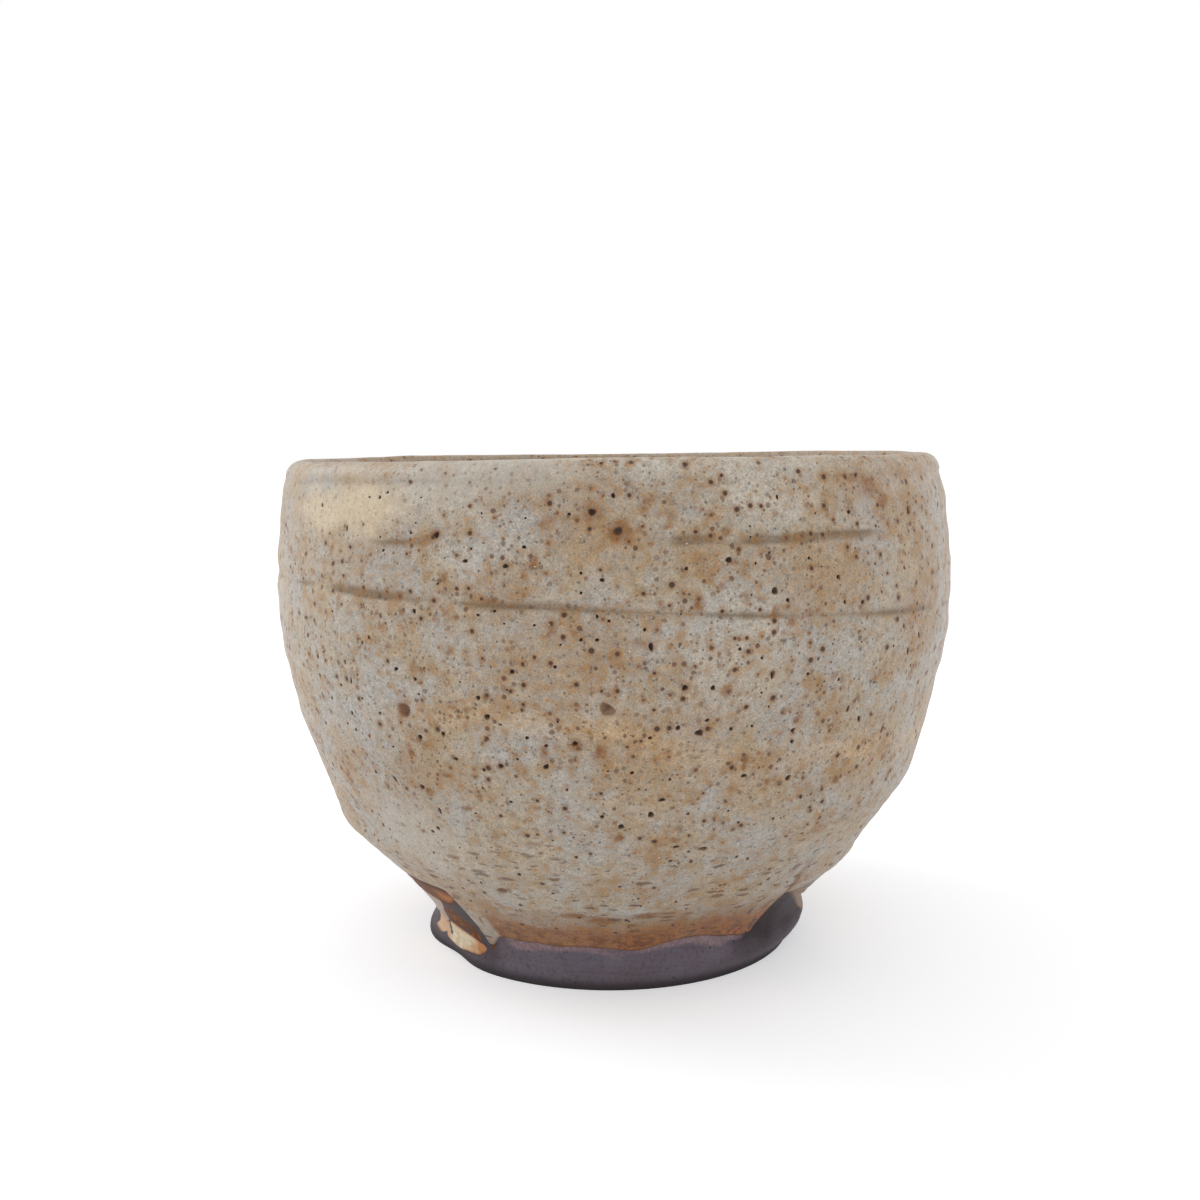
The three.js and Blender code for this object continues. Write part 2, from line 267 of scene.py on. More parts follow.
# Share of the way up from the belly to the lip's side, and share of the way in
SHOULDER_SHARES = [
    (0, 0), (0.2, 0.05), (0.4, 0.19), (0.6, 0.36), (0.75, 0.5), (0.88, 0.72), (1, 1),
]

# Throwing grooves round the upper wall: height, how far it rises to one side, the angle of that
# side, half width of its soft channel, depth of the channel, depth of the sharp line in it
GROOVES = [
    (56.6, 0.0, 200, 1.5, 0.1, 0.02),
    (53.3, 0.5, 220, 0.9, 0.04, 0.03),
    (48.6, 2.4, 200, 1.5, 0.14, 0.12),
]
GROOVE_LINE_HALF_WIDTH = 0.4
GROOVE_REACH = 5
THROWING_RIDGE_PITCH = 4.2
THROWING_RIDGE_DEPTH = 0.05
THROWING_RIDGES_START = 26
THROWING_RIDGES_FADE = 10
TURNING_RIDGE_PITCH = 1.7
TURNING_RIDGE_DEPTH = 0.045
TURNING_RIDGES_END = 25
TURNING_RIDGES_FADE = 4
UNEVENNESS_START = 4
UNEVENNESS_FADE = 6

# Lower edge of the glaze, drawn up over the marks of the thumb and the two fingers that held the
# foot, and a little between them in front: angle of a mark's middle, reach before and after it,
# rise, softness of its two flanks. The tongue beside the left mark: angle, half width, drop.
GLAZE_END_HEIGHT = 5.6
FINGER_MARKS = [
    (92, 24, 24, 5.2, 0.5, 0.4),
    (210, 20, 21.5, 6.6, 0.5, 0.12),
    (290, 16, 18, 1.1, 1.0, 1.0),
    (314, 4.5, 35, 5.8, 0.6, 0.7),
]
GLAZE_TONGUE = (232.5, 2.6, 1.7)

# Unevenness left by the hand, a row for each size of lump: how high it is, how wide in degrees,
# how tall in millimetres, and the seed of its random lattice. A groove's height gives its seed.
LATTICE_ROWS = 64
WALL_LUMPS = [(0.13, 18, 13, 11), (0.05, 6, 4, 12), (0.022, 1.8, 1.3, 13)]
CHATTER_LUMPS = [(0.3, 20, 6, 14)]
LIP_LUMPS = [(0.09, 14, 1, 5), (0.03, 4, 1, 6)]
GLAZE_END_LUMPS = [(0.2, 12, 1, 7), (0.12, 3, 1, 8)]
INSIDE_LUMPS = [(0.1, 20, 9, 21), (0.03, 4, 3, 22)]
GROOVE_WAVER = (0.12, 9, 1)
GROOVE_PRESENCE = (0.4, 11, 1)


def smooth(share):
    """Smooth step: 0 below share 0, 1 above share 1."""
    clipped = np.clip(share, 0, 1)
    return clipped * clipped * (3 - 2 * clipped)


def bell(distance):
    """Bell curve, 1 at distance 0 and about a third at distance 1."""
    return np.exp(-(distance**2))


def soft_greater(first, second, rounding):
    """The greater of two lengths, with the corner between them rounded off by a log of a sum of
    exponentials."""
    return rounding * np.logaddexp(first / rounding, second / rounding)


def turn_between(start, end):
    """Signed turn from one angle to another in degrees, between -180 and 180."""
    return (end - start + 180) % 360 - 180


def read_shares(rows, place):
    """Cubic through a table's rows, whose slope at a row is that between its neighbours."""
    places, values = np.array(rows, float).T
    before = np.maximum(np.arange(len(rows)) - 1, 0)
    after = np.minimum(np.arange(len(rows)) + 1, len(rows) - 1)
    slope = (values[after] - values[before]) / (places[after] - places[before])
    row = np.clip(np.searchsorted(places, place, side="right") - 1, 0, len(rows) - 2)
    step = np.diff(places)[row]
    rise = np.diff(values)[row]
    along = (place - places[row]) / step
    bend_below = (slope[row] * step - rise) * (1 - along)
    bend_above = (rise - slope[row + 1] * step) * along
    return values[row] + rise * along + along * (1 - along) * (bend_below + bend_above)


def lumps(angle, height, sizes):
    """Smooth unevenness, a sum over sizes of lump. For each, random values between -1 and 1 on a
    lattice round the cup are blended across and up with smooth steps."""
    total = 0.0
    for high, wide, tall, seed in sizes:
        columns = round(360 / wide)
        lattice = np.random.default_rng(seed).uniform(-1, 1, (LATTICE_ROWS, columns))
        across = np.degrees(angle) % 360 / 360 * columns
        upward = np.asarray(height) / tall + LATTICE_ROWS / 2
        column = np.floor(across).astype(int)
        row = np.floor(upward).astype(int)
        beside = smooth(across - column)
        above = smooth(upward - row)
        for right, up in ((0, 0), (1, 0), (0, 1), (1, 1)):
            value = lattice[(row + up) % LATTICE_ROWS, (column + right) % columns]
            share = (beside if right else 1 - beside) * (above if up else 1 - above)
            total = total + high * value * share
    return total


def lift(height, angle):
    """How far the wall is lifted by the uneven lip: a tilt and a three-lobed wave, growing from
    the floor up."""
    lip = LIP_TILT * np.cos(angle) + LIP_WAVE * np.sin(3 * angle) + lumps(angle, 0, LIP_LUMPS)
    return lip * smooth((height - FLOOR_TOP) / (LIP_HEIGHT - FLOOR_TOP))


def point_at(radius, height, angle):
    """Point at a radius and an angle round the axis, its height lifted with the uneven lip."""
    lifted = height + lift(height, angle)
    return np.stack([radius * np.cos(angle), radius * np.sin(angle), lifted], -1)


def glaze_end(angle):
    """Height of the glaze's lower edge: a level line, drawn up over each finger mark with
    smooth flanks, less the tongue beside the left mark, with a fine waver."""
    degrees = np.degrees(angle)
    rise = np.zeros_like(degrees)
    for middle, before, after, height, soft_before, soft_after in FINGER_MARKS:
        turn = turn_between(middle, degrees)
        away = np.where(turn < 0, -turn / before, turn / after)
        flank = np.where(turn < 0, soft_before, soft_after)
        rise = np.maximum(rise, height * smooth((1 - away) / flank))
    middle, half_width, drop = GLAZE_TONGUE
    tongue = drop * bell(turn_between(middle, degrees) / half_width)
    return GLAZE_END_HEIGHT + rise - tongue + lumps(angle, 0, GLAZE_END_LUMPS)


def groove_middle(groove, angle):
    """Height of a groove's middle: its level plus a slant towards one side and a waver."""
    height, slant, side = groove[:3]
    waver = lumps(angle, 0, [(*GROOVE_WAVER, round(height))])
    return height + slant * np.cos(angle - np.radians(side)) + waver


def groove_depth(height, angle):
    """Depth of the throwing grooves: for each a soft channel with a sharp line in its middle,
    both bell curves across its height. The line comes and goes along the groove."""
    depth = 0.0
    for groove in GROOVES:
        half_width, channel, line = groove[3:]
        away = height - groove_middle(groove, angle)
        presence = 0.6 + lumps(angle, 0, [(*GROOVE_PRESENCE, round(groove[0]) + 1)])
        sharp = line * presence * bell(away / GROOVE_LINE_HALF_WIDTH)
        depth = depth + channel * bell(away / half_width) + sharp
    return depth


def unevenness(height, angle):
    """What the hand left in the surface: lumps of three sizes, soft throwing ridges on the upper
    wall that climb like a screw, and close turning ridges under the belly."""
    screw = height / THROWING_RIDGE_PITCH + angle / (2 * np.pi)
    thrown = THROWING_RIDGE_DEPTH * np.sin(2 * np.pi * screw)
    thrown = thrown * smooth((height - THROWING_RIDGES_START) / THROWING_RIDGES_FADE)
    chatter = height / TURNING_RIDGE_PITCH + lumps(angle, height, CHATTER_LUMPS)
    turned = TURNING_RIDGE_DEPTH * np.sin(2 * np.pi * chatter)
    turned = turned * smooth((TURNING_RIDGES_END - height) / TURNING_RIDGES_FADE)
    fade = smooth((height - UNEVENNESS_START) / UNEVENNESS_FADE)
    return fade * (lumps(angle, height, WALL_LUMPS) + thrown + turned)


def left_to_right(rows, place, angle):
    """Reading of a table with a column for the left of the cup and one for the right, blended
    with the cosine of the angle."""
    rows = np.array(rows)
    left = read_shares(rows[:, [0, 1]], place)
    right = read_shares(rows[:, [0, 2]], place)
    return left + (right - left) * (1 + np.cos(angle)) / 2


def lip_offset(angle):
    """How far the lip's circle stands out because it is off centre."""
    return -LIP_LEAN * np.cos(angle)


def outside_radius(height, angle):
    """Radius of the glazed outside: the wall under the belly or the shoulder above it, less the
    grooves, on top of the waist above the foot."""
    upward = (height - BELLY_HEIGHT) / (LIP_SIDE_HEIGHT - BELLY_HEIGHT)
    lip_side_radius = LIP_RADIUS + LIP_OUTER_ROUNDING + lip_offset(angle)
    drawn_in = (BELLY_RADIUS - lip_side_radius) * read_shares(SHOULDER_SHARES, upward)
    belly = BELLY_RADIUS * left_to_right(WALL_SHARES, height / BELLY_HEIGHT, angle)
    thrown = np.where(upward > 0, BELLY_RADIUS - drawn_in, belly) - groove_depth(height, angle)
    waist = WAIST_RADIUS + WAIST_LEAN * np.cos(angle) + GLAZE_THICKNESS
    return soft_greater(thrown, waist, WAIST_SOFTNESS) + unevenness(height, angle)


def lip_ring(share, angle, rounding, coat):
    """Radius and height on the lip's rounding, a quarter of an ellipse from its side at share 0
    to its crest at share 1. A coat is what is left off it all over."""
    turn = share * np.pi / 2
    reach = (abs(rounding) - coat) * np.sign(rounding)
    radius = LIP_RADIUS + lip_offset(angle) + reach * np.cos(turn)
    return radius, LIP_SIDE_HEIGHT + (LIP_ROUNDING_DEPTH - coat) * np.sin(turn)


# Inside from the middle of the floor: share of the way up to the belly, share of its radius
INSIDE_SHARES = [
    (0, 0), (0, 0.26), (0.04, 0.48), (0.12, 0.65), (0.24, 0.775), (0.4, 0.865), (0.58, 0.93),
    (0.77, 0.973), (1, 1),
]
INSIDE_RADIUS = BELLY_RADIUS - WALL_THICKNESS
INSIDE_SHOULDER_SHARES = [0.35, 0.7, 1]
LIP_INSIDE_RADIUS = LIP_RADIUS - LIP_INNER_ROUNDING
INSIDE_RIDGE_PITCH = 5.0
INSIDE_RIDGE_DEPTH = 0.1
INSIDE_FADES = (0.15, 0.12)
OUTLINE_STEP = 0.002


def inside_outline(share):
    """Radius and height of the inside without its lean: smooth curves through the outline's
    points, from the middle of the floor at share 0 to the lip's inner side at share 1."""
    up, out = np.array(INSIDE_SHARES).T
    shoulder = np.array(INSIDE_SHOULDER_SHARES)
    inward = read_shares(SHOULDER_SHARES, shoulder)
    shoulder_radii = INSIDE_RADIUS + (LIP_INSIDE_RADIUS - INSIDE_RADIUS) * inward
    shoulder_heights = BELLY_HEIGHT + (LIP_SIDE_HEIGHT - BELLY_HEIGHT) * shoulder
    radii = np.concatenate([INSIDE_RADIUS * out, shoulder_radii])
    heights = np.concatenate([FLOOR_TOP + (BELLY_HEIGHT - FLOOR_TOP) * up, shoulder_heights])
    places = np.linspace(0, 1, len(radii))
    return [read_shares(np.stack([places, row], -1), share) for row in (radii, heights)]


def inside_ring(share, angle, coat):
    """Radius and height on the inside: its outline moved outwards by the coat that is left off,
    with lumps and with the ridges that the fingers left climbing it like a screw."""
    radius, height = inside_outline(share)
    next_radius, next_height = inside_outline(share + OUTLINE_STEP)
    outward = next_radius - radius
    upward = next_height - height
    length = np.hypot(outward, upward)
    screw = (radius + height) / INSIDE_RIDGE_PITCH + angle / (2 * np.pi)
    ridge = INSIDE_RIDGE_DEPTH * np.sin(2 * np.pi * screw)
    fade = smooth(share / INSIDE_FADES[0]) * smooth((1 - share) / INSIDE_FADES[1])
    moved = coat + fade * (ridge + lumps(angle, height, INSIDE_LUMPS))
    radius = np.maximum(radius + upward / length * moved, 0)
    height = height - outward / length * moved
    to_lip = smooth((height - BELLY_HEIGHT) / (LIP_SIDE_HEIGHT - BELLY_HEIGHT))
    return radius + to_lip * lip_offset(angle), height


def rows_of(columns, *stretches):
    """Rows of points round the axis. Each stretch holds a function that gives radius and height
    at shares and angles, before the lift, the shares, one for a row, and the function's other
    settings."""
    angles = np.linspace(0, 2 * np.pi, columns, endpoint=False)
    rows = []
    for ring, shares, *settings in stretches:
        share, angle = np.meshgrid(shares, angles, indexing="ij")
        rows.append(point_at(*ring(share, angle, *settings), angle))
    return np.concatenate(rows)


def grid_faces(rows, columns, closed):
    """Four-sided faces between neighbouring points of a grid whose columns run round the axis.
    A closed grid's last row also joins its first."""
    row, column = np.mgrid[0 : rows if closed else rows - 1, 0:columns]
    above = (row + 1) % rows
    beside = (column + 1) % columns
    corners = [
        row * columns + column, row * columns + beside,
        above * columns + beside, above * columns + column,
    ]
    return np.stack(corners, -1).reshape(-1, 4)


def capped(rows):
    """Points and faces of a shell over rows of points. A fan of triangles round the middle of the
    first row, and of the last, closes its ends."""
    count, columns = rows.shape[:2]
    points = np.concatenate([rows.reshape(-1, 3), [rows[0].mean(0), rows[-1].mean(0)]])
    column = np.arange(columns)
    beside = (column + 1) % columns
    tip = np.full(columns, count * columns)
    last = (count - 1) * columns
    first_fan = np.stack([tip, beside, column], -1)
    last_fan = np.stack([tip + 1, last + column, last + beside], -1)
    return points, [grid_faces(count, columns, False), first_fan, last_fan]


SHARP_EDGE_ANGLE = np.radians(55)


def add_piece(name, points, faces, material, attributes):
    """Makes the piece that stands for the CAD node of its name, from points in millimetres.
    Points that no face uses are left out. Attributes are one number for each point."""
    corners = np.concatenate([face.ravel() for face in faces])
    used, renumbered = np.unique(corners, return_inverse=True)
    lists = []
    start = 0
    for face in faces:
        lists += renumbered[start : start + face.size].reshape(face.shape).tolist()
        start += face.size
    mesh = bpy.data.meshes.new(name)
    mesh.from_pydata((points[used] * MILLIMETRE).tolist(), [], lists)
    for key, values in attributes.items():
        attribute = mesh.attributes.new(key, "FLOAT", "POINT")
        attribute.data.foreach_set("value", values[used].astype(np.float32))
    mesh.shade_smooth()
    mesh.set_sharp_from_angle(angle=SHARP_EDGE_ANGLE)
    mesh.materials.append(material)
    piece = bpy.data.objects.new(name + "_finish", mesh)
    scene.collection.objects.link(piece)
    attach(piece, "root")
    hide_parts(name)


def finish_surface(colour, roughness, relief, strength, depth, specular=0.5):
    """Ends a material's shader: its colour and roughness, with relief as deep as the depth in
    millimetres."""
    bump = {"Strength": strength, "Distance": depth * MILLIMETRE, "Height": relief}
    values = {
        "Base Color": colour, "Roughness": roughness, "Specular IOR Level": specular,
        "Normal": colour.node("Bump", {}, bump),
    }
    surface = colour.node("BsdfPrincipled", {}, values)
    colour.node("OutputMaterial", {}, {"Surface": surface})


CLAY_COLUMNS = 360
CLAY_HEIGHTS = np.concatenate([np.arange(FOOT_HEIGHT, 13.4, 0.3), np.arange(14, 62.6, 2.7)])
HOLLOW_SHARES = [0.02, 0.15, 0.3, 0.45, 0.6, 0.75, 0.88, 0.96, 1.0]

# Where the bare clay took colour in and between the marks, and where shade is painted in their
# hollows: angles in degrees, lumps as above, and spans, each its first and last angle and how soft
# its first and last flank is in degrees
FLASH_SPAN = (186, 232, 8, 4)
FLASH_BRIGHT_ANGLE = 218
FLASH_LUMPS = [(0.5, 4, 1.2, 41)]
SCORCH_SPAN = (211, 228.5, 4, 2.5)
SCORCH_ANGLE = 218
SCORCH_LUMPS = [(0.5, 3, 1, 42), (0.25, 1.2, 0.4, 44)]
SCORCH_HALF_HEIGHT = 2.0
RUST_SPAN = (216, 234.5, 3, 1.5)
RUST_DRIP_SPAN = (226.5, 233.5, 3, 1.5)
FILM_LEFT_ANGLE = 198
FILM_LEFT_REACH = 60
FILM_RIGHT_ANGLE = 330
FILM_RIGHT_REACH = 34
FILM_LUMPS = [(1.5, 5, 1.5, 43)]
SKIN_AND_SHEEN_SPANS = [(237, 309, 4, 4), (10, 185, 8, 8)]
SKIN_AND_SHEEN_STRONGEST_ANGLE = 247
SKIN_AND_SHEEN_REACH_LUMPS = [(0.6, 5, 1, 45)]
SKIN_AND_SHEEN_PRESENCE_LUMPS = [(0.6, 8, 1, 47)]
HOLLOW_SHADE_LEFT_SPAN = (176, 236, 12, 5)
HOLLOW_SHADE_RIGHT_SPAN = (298, 365, 12, 12)
HOLLOW_SHADE_LUMPS = [(0.2, 6, 2, 46)]

# Heights between which the film turns thick, and between which painted shade darkens the clay
# towards the foot's lowest edge, where it meets the table
FILM_THICK_HEIGHTS = (4.8 * MILLIMETRE, 3.2 * MILLIMETRE)
CONTACT_SHADE_HEIGHTS = (1.7 * MILLIMETRE, 0.2 * MILLIMETRE)


def hollow_ring(share, angle):
    """Ring of the dish inside the foot: its height falls with the square of the radius, with
    close turning lines cut in it."""
    line = HOLLOW_LINE_DEPTH * np.sin(HOLLOW_LINES * np.pi * share) * (1 - share)
    return FOOT_INNER_RADIUS * share, FOOT_HEIGHT + HOLLOW_DISH_DEPTH * (1 - share**2) + line


def clay_wall_ring(height, angle):
    """Ring of the clay wall: what the glaze leaves of the outside's radius."""
    return outside_radius(height, angle) - GLAZE_THICKNESS, height


def in_span(degrees, span):
    """1 inside a span of angles, with a smooth step inside each of its ends."""
    first, last, soft_first, soft_last = span
    entered = smooth(turn_between(first, degrees) / soft_first)
    return entered * smooth(turn_between(degrees, last) / soft_last)


def below_glaze(angle, height):
    """How far a point lies below the glaze's edge, in millimetres."""
    return glaze_end(angle) - height


def flash(angle, height):
    """Where the fire turned the bare clay orange: above a slanting line in the left mark."""
    degrees = np.degrees(angle)
    turn = turn_between(FLASH_BRIGHT_ANGLE, degrees)
    sides = in_span(degrees, FLASH_SPAN) * (0.6 + 0.4 * smooth(turn / 5))
    edge = 7.44 + 0.18 * turn - lumps(angle, height, FLASH_LUMPS)
    return sides * smooth((height - edge) / 1.6)


def scorch(angle, height):
    """A red-brown band that falls across the left mark, about a slanting line, and rust under
    the tongue of glaze beside it."""
    degrees = np.degrees(angle)
    uneven = lumps(angle, height, SCORCH_LUMPS)
    middle = np.minimum(6.0, 7.8 - 0.47 * turn_between(SCORCH_ANGLE, degrees))
    band = smooth((SCORCH_HALF_HEIGHT - np.abs(height - middle + uneven)) / 0.8)
    band = band * smooth((height - 3.2) / 0.8)
    drip = 0.15 + in_span(degrees, RUST_DRIP_SPAN)
    rust = smooth((drip - below_glaze(angle, height) - 0.3 * uneven) / 0.3)
    return np.maximum(band * in_span(degrees, SCORCH_SPAN), rust * in_span(degrees, RUST_SPAN))


def film(angle, height):
    """Where a film of glaze ran down past the marks onto the foot: to the left of a slanting
    line beside the left mark, and to the right of another beside the right mark."""
    degrees = np.degrees(angle)
    uneven = lumps(angle, height, FILM_LUMPS)
    bulge = 7 * bell((height - 3.0) / 2.2)
    edge = FILM_LEFT_ANGLE + 2.9 * (np.clip(height, 0, 9) - 1.4) + bulge
    left = turn_between(edge, degrees) + uneven
    lowest = 0.9 + 0.4 * np.clip(-left - 8, 0, 8)
    left = smooth(-left / 2) * smooth((left + FILM_LEFT_REACH) / 12)
    left = left * smooth((height - lowest) / 0.8) * smooth((9.0 - height) / 0.8)
    right = turn_between(FILM_RIGHT_ANGLE, degrees) - 4 * (7.1 - height) + 0.4 * uneven
    right = smooth(right / 2.5) * smooth((FILM_RIGHT_REACH - right) / 12)
    return np.maximum(left, 0.5 * right * smooth((height - 3.1) / 0.6))


def skin(angle, height):
    """The thin pink skin on the clay under the glaze's edge, in front of the marks and behind. Its
    pale colour is partly a painted highlight, where the foot's shoulder catches the light.
    """
    degrees = np.degrees(angle)
    near = bell(turn_between(SKIN_AND_SHEEN_STRONGEST_ANGLE, degrees) / 6)
    reach = 1.2 + lumps(angle, 0, SKIN_AND_SHEEN_REACH_LUMPS) + 0.7 * near
    presence = np.clip(0.75 + lumps(angle, 0, SKIN_AND_SHEEN_PRESENCE_LUMPS) + 0.5 * near, 0.15, 1)
    presence = presence * np.maximum(*[in_span(degrees, span) for span in SKIN_AND_SHEEN_SPANS])
    return presence * smooth((reach - below_glaze(angle, height)) / 0.5)


def hollow_shade(angle, height):
    """How much darker the clay is painted in the hollows of the two marks than in front: painted
    shade.
    """
    degrees = np.degrees(angle)
    left = 0.55 * in_span(degrees, HOLLOW_SHADE_LEFT_SPAN) * smooth((height - 0.2) / 2)
    right = in_span(degrees, HOLLOW_SHADE_RIGHT_SPAN) * (0.35 + 0.65 * smooth((height - 1.5) / 4))
    return np.maximum(left, right) * (0.85 + lumps(angle, height, HOLLOW_SHADE_LUMPS))


def clay_marks(points):
    """The clay's marks at points, each under the name of its function."""
    angle = np.arctan2(points[:, 1], points[:, 0])
    marks = (below_glaze, flash, scorch, film, skin, hollow_shade)
    return {mark.__name__: mark(angle, points[:, 2]) for mark in marks}


clay = bpy.data.materials.new("bare_clay")
body = shader_of(clay)
spot = body.node("TexCoord", output="Object")
level = spot.node("SeparateXYZ", {}, {0: spot}, output="Z")
grain = spot.noise(0.45, 4, 0.65)
cloud = spot.noise(6, 3, 0.55)
mottle = spot.noise(0.9, 2, 0.6).rising(0.5, 0.68)
tan = spot.noise(2.2, 2, 0.5).rising(0.42, 0.6)
scratch = spot.scaled((0.15, 0.15, 1.0)).noise(0.35, 3, 0.6)
streak = spot.scaled((1.0, 1.0, 0.25)).noise(0.35, 2, 0.6)
pinholes = spot.spots(1.5, 0.26, 0.45, 0.6)
scorched = body.attribute("scorch") * (0.5 + grain)
burnt = body.attribute("flash")
lit = burnt.rising(0.45, 1.0) * body.attribute("below_glaze").rising(0.5, 2.0)
pink = body.attribute("skin")
filmed = body.attribute("film")
thick = filmed.rising(0.6, 0.95) * level.rising(*FILM_THICK_HEIGHTS)
contact_shade = level.rising(*CONTACT_SHADE_HEIGHTS)
film_colour = tan.between((172, 156, 136), (184, 150, 118))
colour = cloud.rising(0.35, 0.65).between((115, 106, 116), (102, 91, 98)).coats([
    # painted sheen: bluish-grey patches where the clay reflects the light
    ((116, 112, 126), spot.noise(3, 2, 0.5).rising(0.52, 0.7) * 0.45),
    ((60, 50, 54), grain.rising(0.48, 0.75) * 0.6),
    ((124, 114, 122), scratch.rising(0.56, 0.78) * 0.3),
    # painted shade in the hollows of the two marks
    ((36, 17, 20), body.attribute("hollow_shade") * (0.8 + 0.4 * cloud)),
    ((102, 56, 16), scorched.rising(0.15, 0.7) * 0.95),
    ((160, 98, 42), scorched.rising(0.3, 0.9) * mottle * 0.8),
    ((90, 48, 22), burnt.rising(0.03, 0.25) * 0.92),
    ((186, 118, 64), lit * (0.3 + 1.2 * grain)),
    # pink skin under the glaze's edge, partly a painted highlight on the foot's shoulder
    ((140, 114, 116), pink * (0.35 + 1.0 * cloud)),
    # painted glints: pale streaks of light in the skin
    ((174, 154, 160), pink * streak.rising(0.42, 0.7) * 0.6),
    ((122, 84, 56), filmed.rising(0.05, 0.35) * 0.6),
    (film_colour, filmed.rising(0.3, 0.75) * (0.5 + 0.7 * grain)),
    ((216, 170, 124), thick * (0.6 + 0.6 * grain)),
    ((146, 128, 132), spot.spots(1.9, 0.22, 0.35, 0.7) * 0.5),
    ((42, 34, 36), pinholes * 0.8),
    # painted shade along the foot's lowest edge, where it meets the table
    ((36, 29, 31), contact_shade * 0.9),
])
gloss = (pink * 0.8).most(filmed.rising(0.3, 0.75))
relief = grain * 0.6 + scratch * 0.8 - pinholes * 1.2
finish_surface(colour, 0.58 + 0.12 * grain - 0.28 * gloss, relief, 0.7, 0.06, specular=0.3)

clay_rows = rows_of(
    CLAY_COLUMNS,
    (hollow_ring, HOLLOW_SHARES),
    (clay_wall_ring, CLAY_HEIGHTS),
    (lip_ring, (0.0, 0.5, 1.0), LIP_OUTER_ROUNDING, GLAZE_THICKNESS),
    (lip_ring, (0.5, 0.0), -LIP_INNER_ROUNDING, GLAZE_THICKNESS),
    (inside_ring, np.linspace(0.95, 0.01, 24), GLAZE_THICKNESS),
)
points, faces = capped(clay_rows)
add_piece("clay_bowl", points, faces, clay, clay_marks(points))


# Foot ring: the turned ring of the same clay that the cup stands on, with a worn contact band,
# a bevel outside and a hollow inside. It was cut from the bowl's base and leans with the waist.
FOOT_RADIUS = 26.1
FOOT_BEVEL_WIDTH = 1.0
FOOT_CONTACT_WIDTH = 3.6
FOOT_CONTACT_LEAN = 0.75
FOOT_CONTACT_LEAN_ANGLE = np.radians(200)
FOOT_CONTACT_LEAN_REACH = 0.4
FOOT_HOLLOW_POWER = 1.5
FOOT_LINES = 6
FOOT_LINE_DEPTH = 0.03
FOOT_LUMPS = [(0.1, 10, 2.5, 31)]
FOOT_HOLLOW_LUMPS = [(0.05, 9, 1, 32)]
CONTACT_OUTSIDE = FOOT_RADIUS - FOOT_BEVEL_WIDTH
CONTACT_INSIDE = CONTACT_OUTSIDE - FOOT_CONTACT_WIDTH

# Share of the foot's height, and share of its radius on the left and on the right. Its lowest row
# is the edge of the contact band, which is off centre, and flattened where the cup was held: angle,
# half width in degrees and depth of that flat.
FOOT_SHARES = [
    (0, CONTACT_OUTSIDE / FOOT_RADIUS, CONTACT_OUTSIDE / FOOT_RADIUS),
    (0.22, 0.96, 0.968), (0.5, 0.945, 1.007), (0.75, 0.948, 1.019),
    (1, (WAIST_RADIUS - WAIST_LEAN) / FOOT_RADIUS, (WAIST_RADIUS + WAIST_LEAN) / FOOT_RADIUS),
]
FOOT_FLAT = (213, 11, 1.2)


def foot_radius(share, angle):
    """Radius of the foot's outside at a share of its height: a smooth curve for the left and
    one for the right, blended round the foot, with turning lines and small lumps."""
    share = np.asarray(share, float)
    middle, half_width, depth = FOOT_FLAT
    flat = depth * bell(turn_between(middle, np.degrees(angle)) / half_width)
    lean = FOOT_CONTACT_LEAN * np.cos(angle - FOOT_CONTACT_LEAN_ANGLE) - flat
    line = FOOT_LINE_DEPTH * np.sin(2 * np.pi * share * FOOT_LINES)
    uneven = (line + lumps(angle, share * FOOT_HEIGHT, FOOT_LUMPS)) * 4 * share * (1 - share)
    smooth_radius = FOOT_RADIUS * left_to_right(FOOT_SHARES, share, angle)
    return smooth_radius + lean * smooth(1 - share / FOOT_CONTACT_LEAN_REACH) + uneven


def foot_side_ring(share, angle):
    """Ring on the foot's outside, at a share of its height."""
    return foot_radius(share, angle), FOOT_HEIGHT * share


def foot_hollow_ring(share, angle):
    """Ring on the foot's inside, which narrows upwards by a power of the height."""
    radius = CONTACT_INSIDE + (FOOT_INNER_RADIUS - CONTACT_INSIDE) * share**FOOT_HOLLOW_POWER
    return radius + lumps(angle, 0, FOOT_HOLLOW_LUMPS), FOOT_HEIGHT * share


def contact_ring(across, angle):
    """Ring on the band that touches the table, from its inner edge at 0 to its outer at 1."""
    inner = foot_hollow_ring(0, angle)[0]
    return inner + (foot_radius(0, angle) - inner) * across, 0 * angle


foot_rows = rows_of(
    CLAY_COLUMNS,
    (contact_ring, np.linspace(0, 1, 6)),
    (foot_side_ring, np.linspace(0.02, 1, 30)),
    (foot_hollow_ring, np.linspace(1, 0, 9)[:-1]),
)
points = foot_rows.reshape(-1, 3)
faces = [grid_faces(len(foot_rows), CLAY_COLUMNS, True)]
add_piece("foot_ring", points, faces, clay, clay_marks(points))


# Outer glaze: a coat of ash glaze poured over the outside, from a rolled edge above the foot to
# the crest of the lip. Bubbles that burst in the kiln left round pits, and iron in the clay
# bled through as rust spots.
GLAZE_END_THICKNESS = 0.38
GLAZE_EDGE_HEIGHT = 0.35
GLAZE_EDGE_SINK = 0.06
GLAZE_THICKENING = 3.5
WALL_SPAN = LIP_SIDE_HEIGHT - GLAZE_END_HEIGHT
GLAZE_COLUMNS = 512
EDGE_ROWS = 6
WALL_ROWS = 104
LIP_ROWS = 14
HIDDEN_ROWS = 16


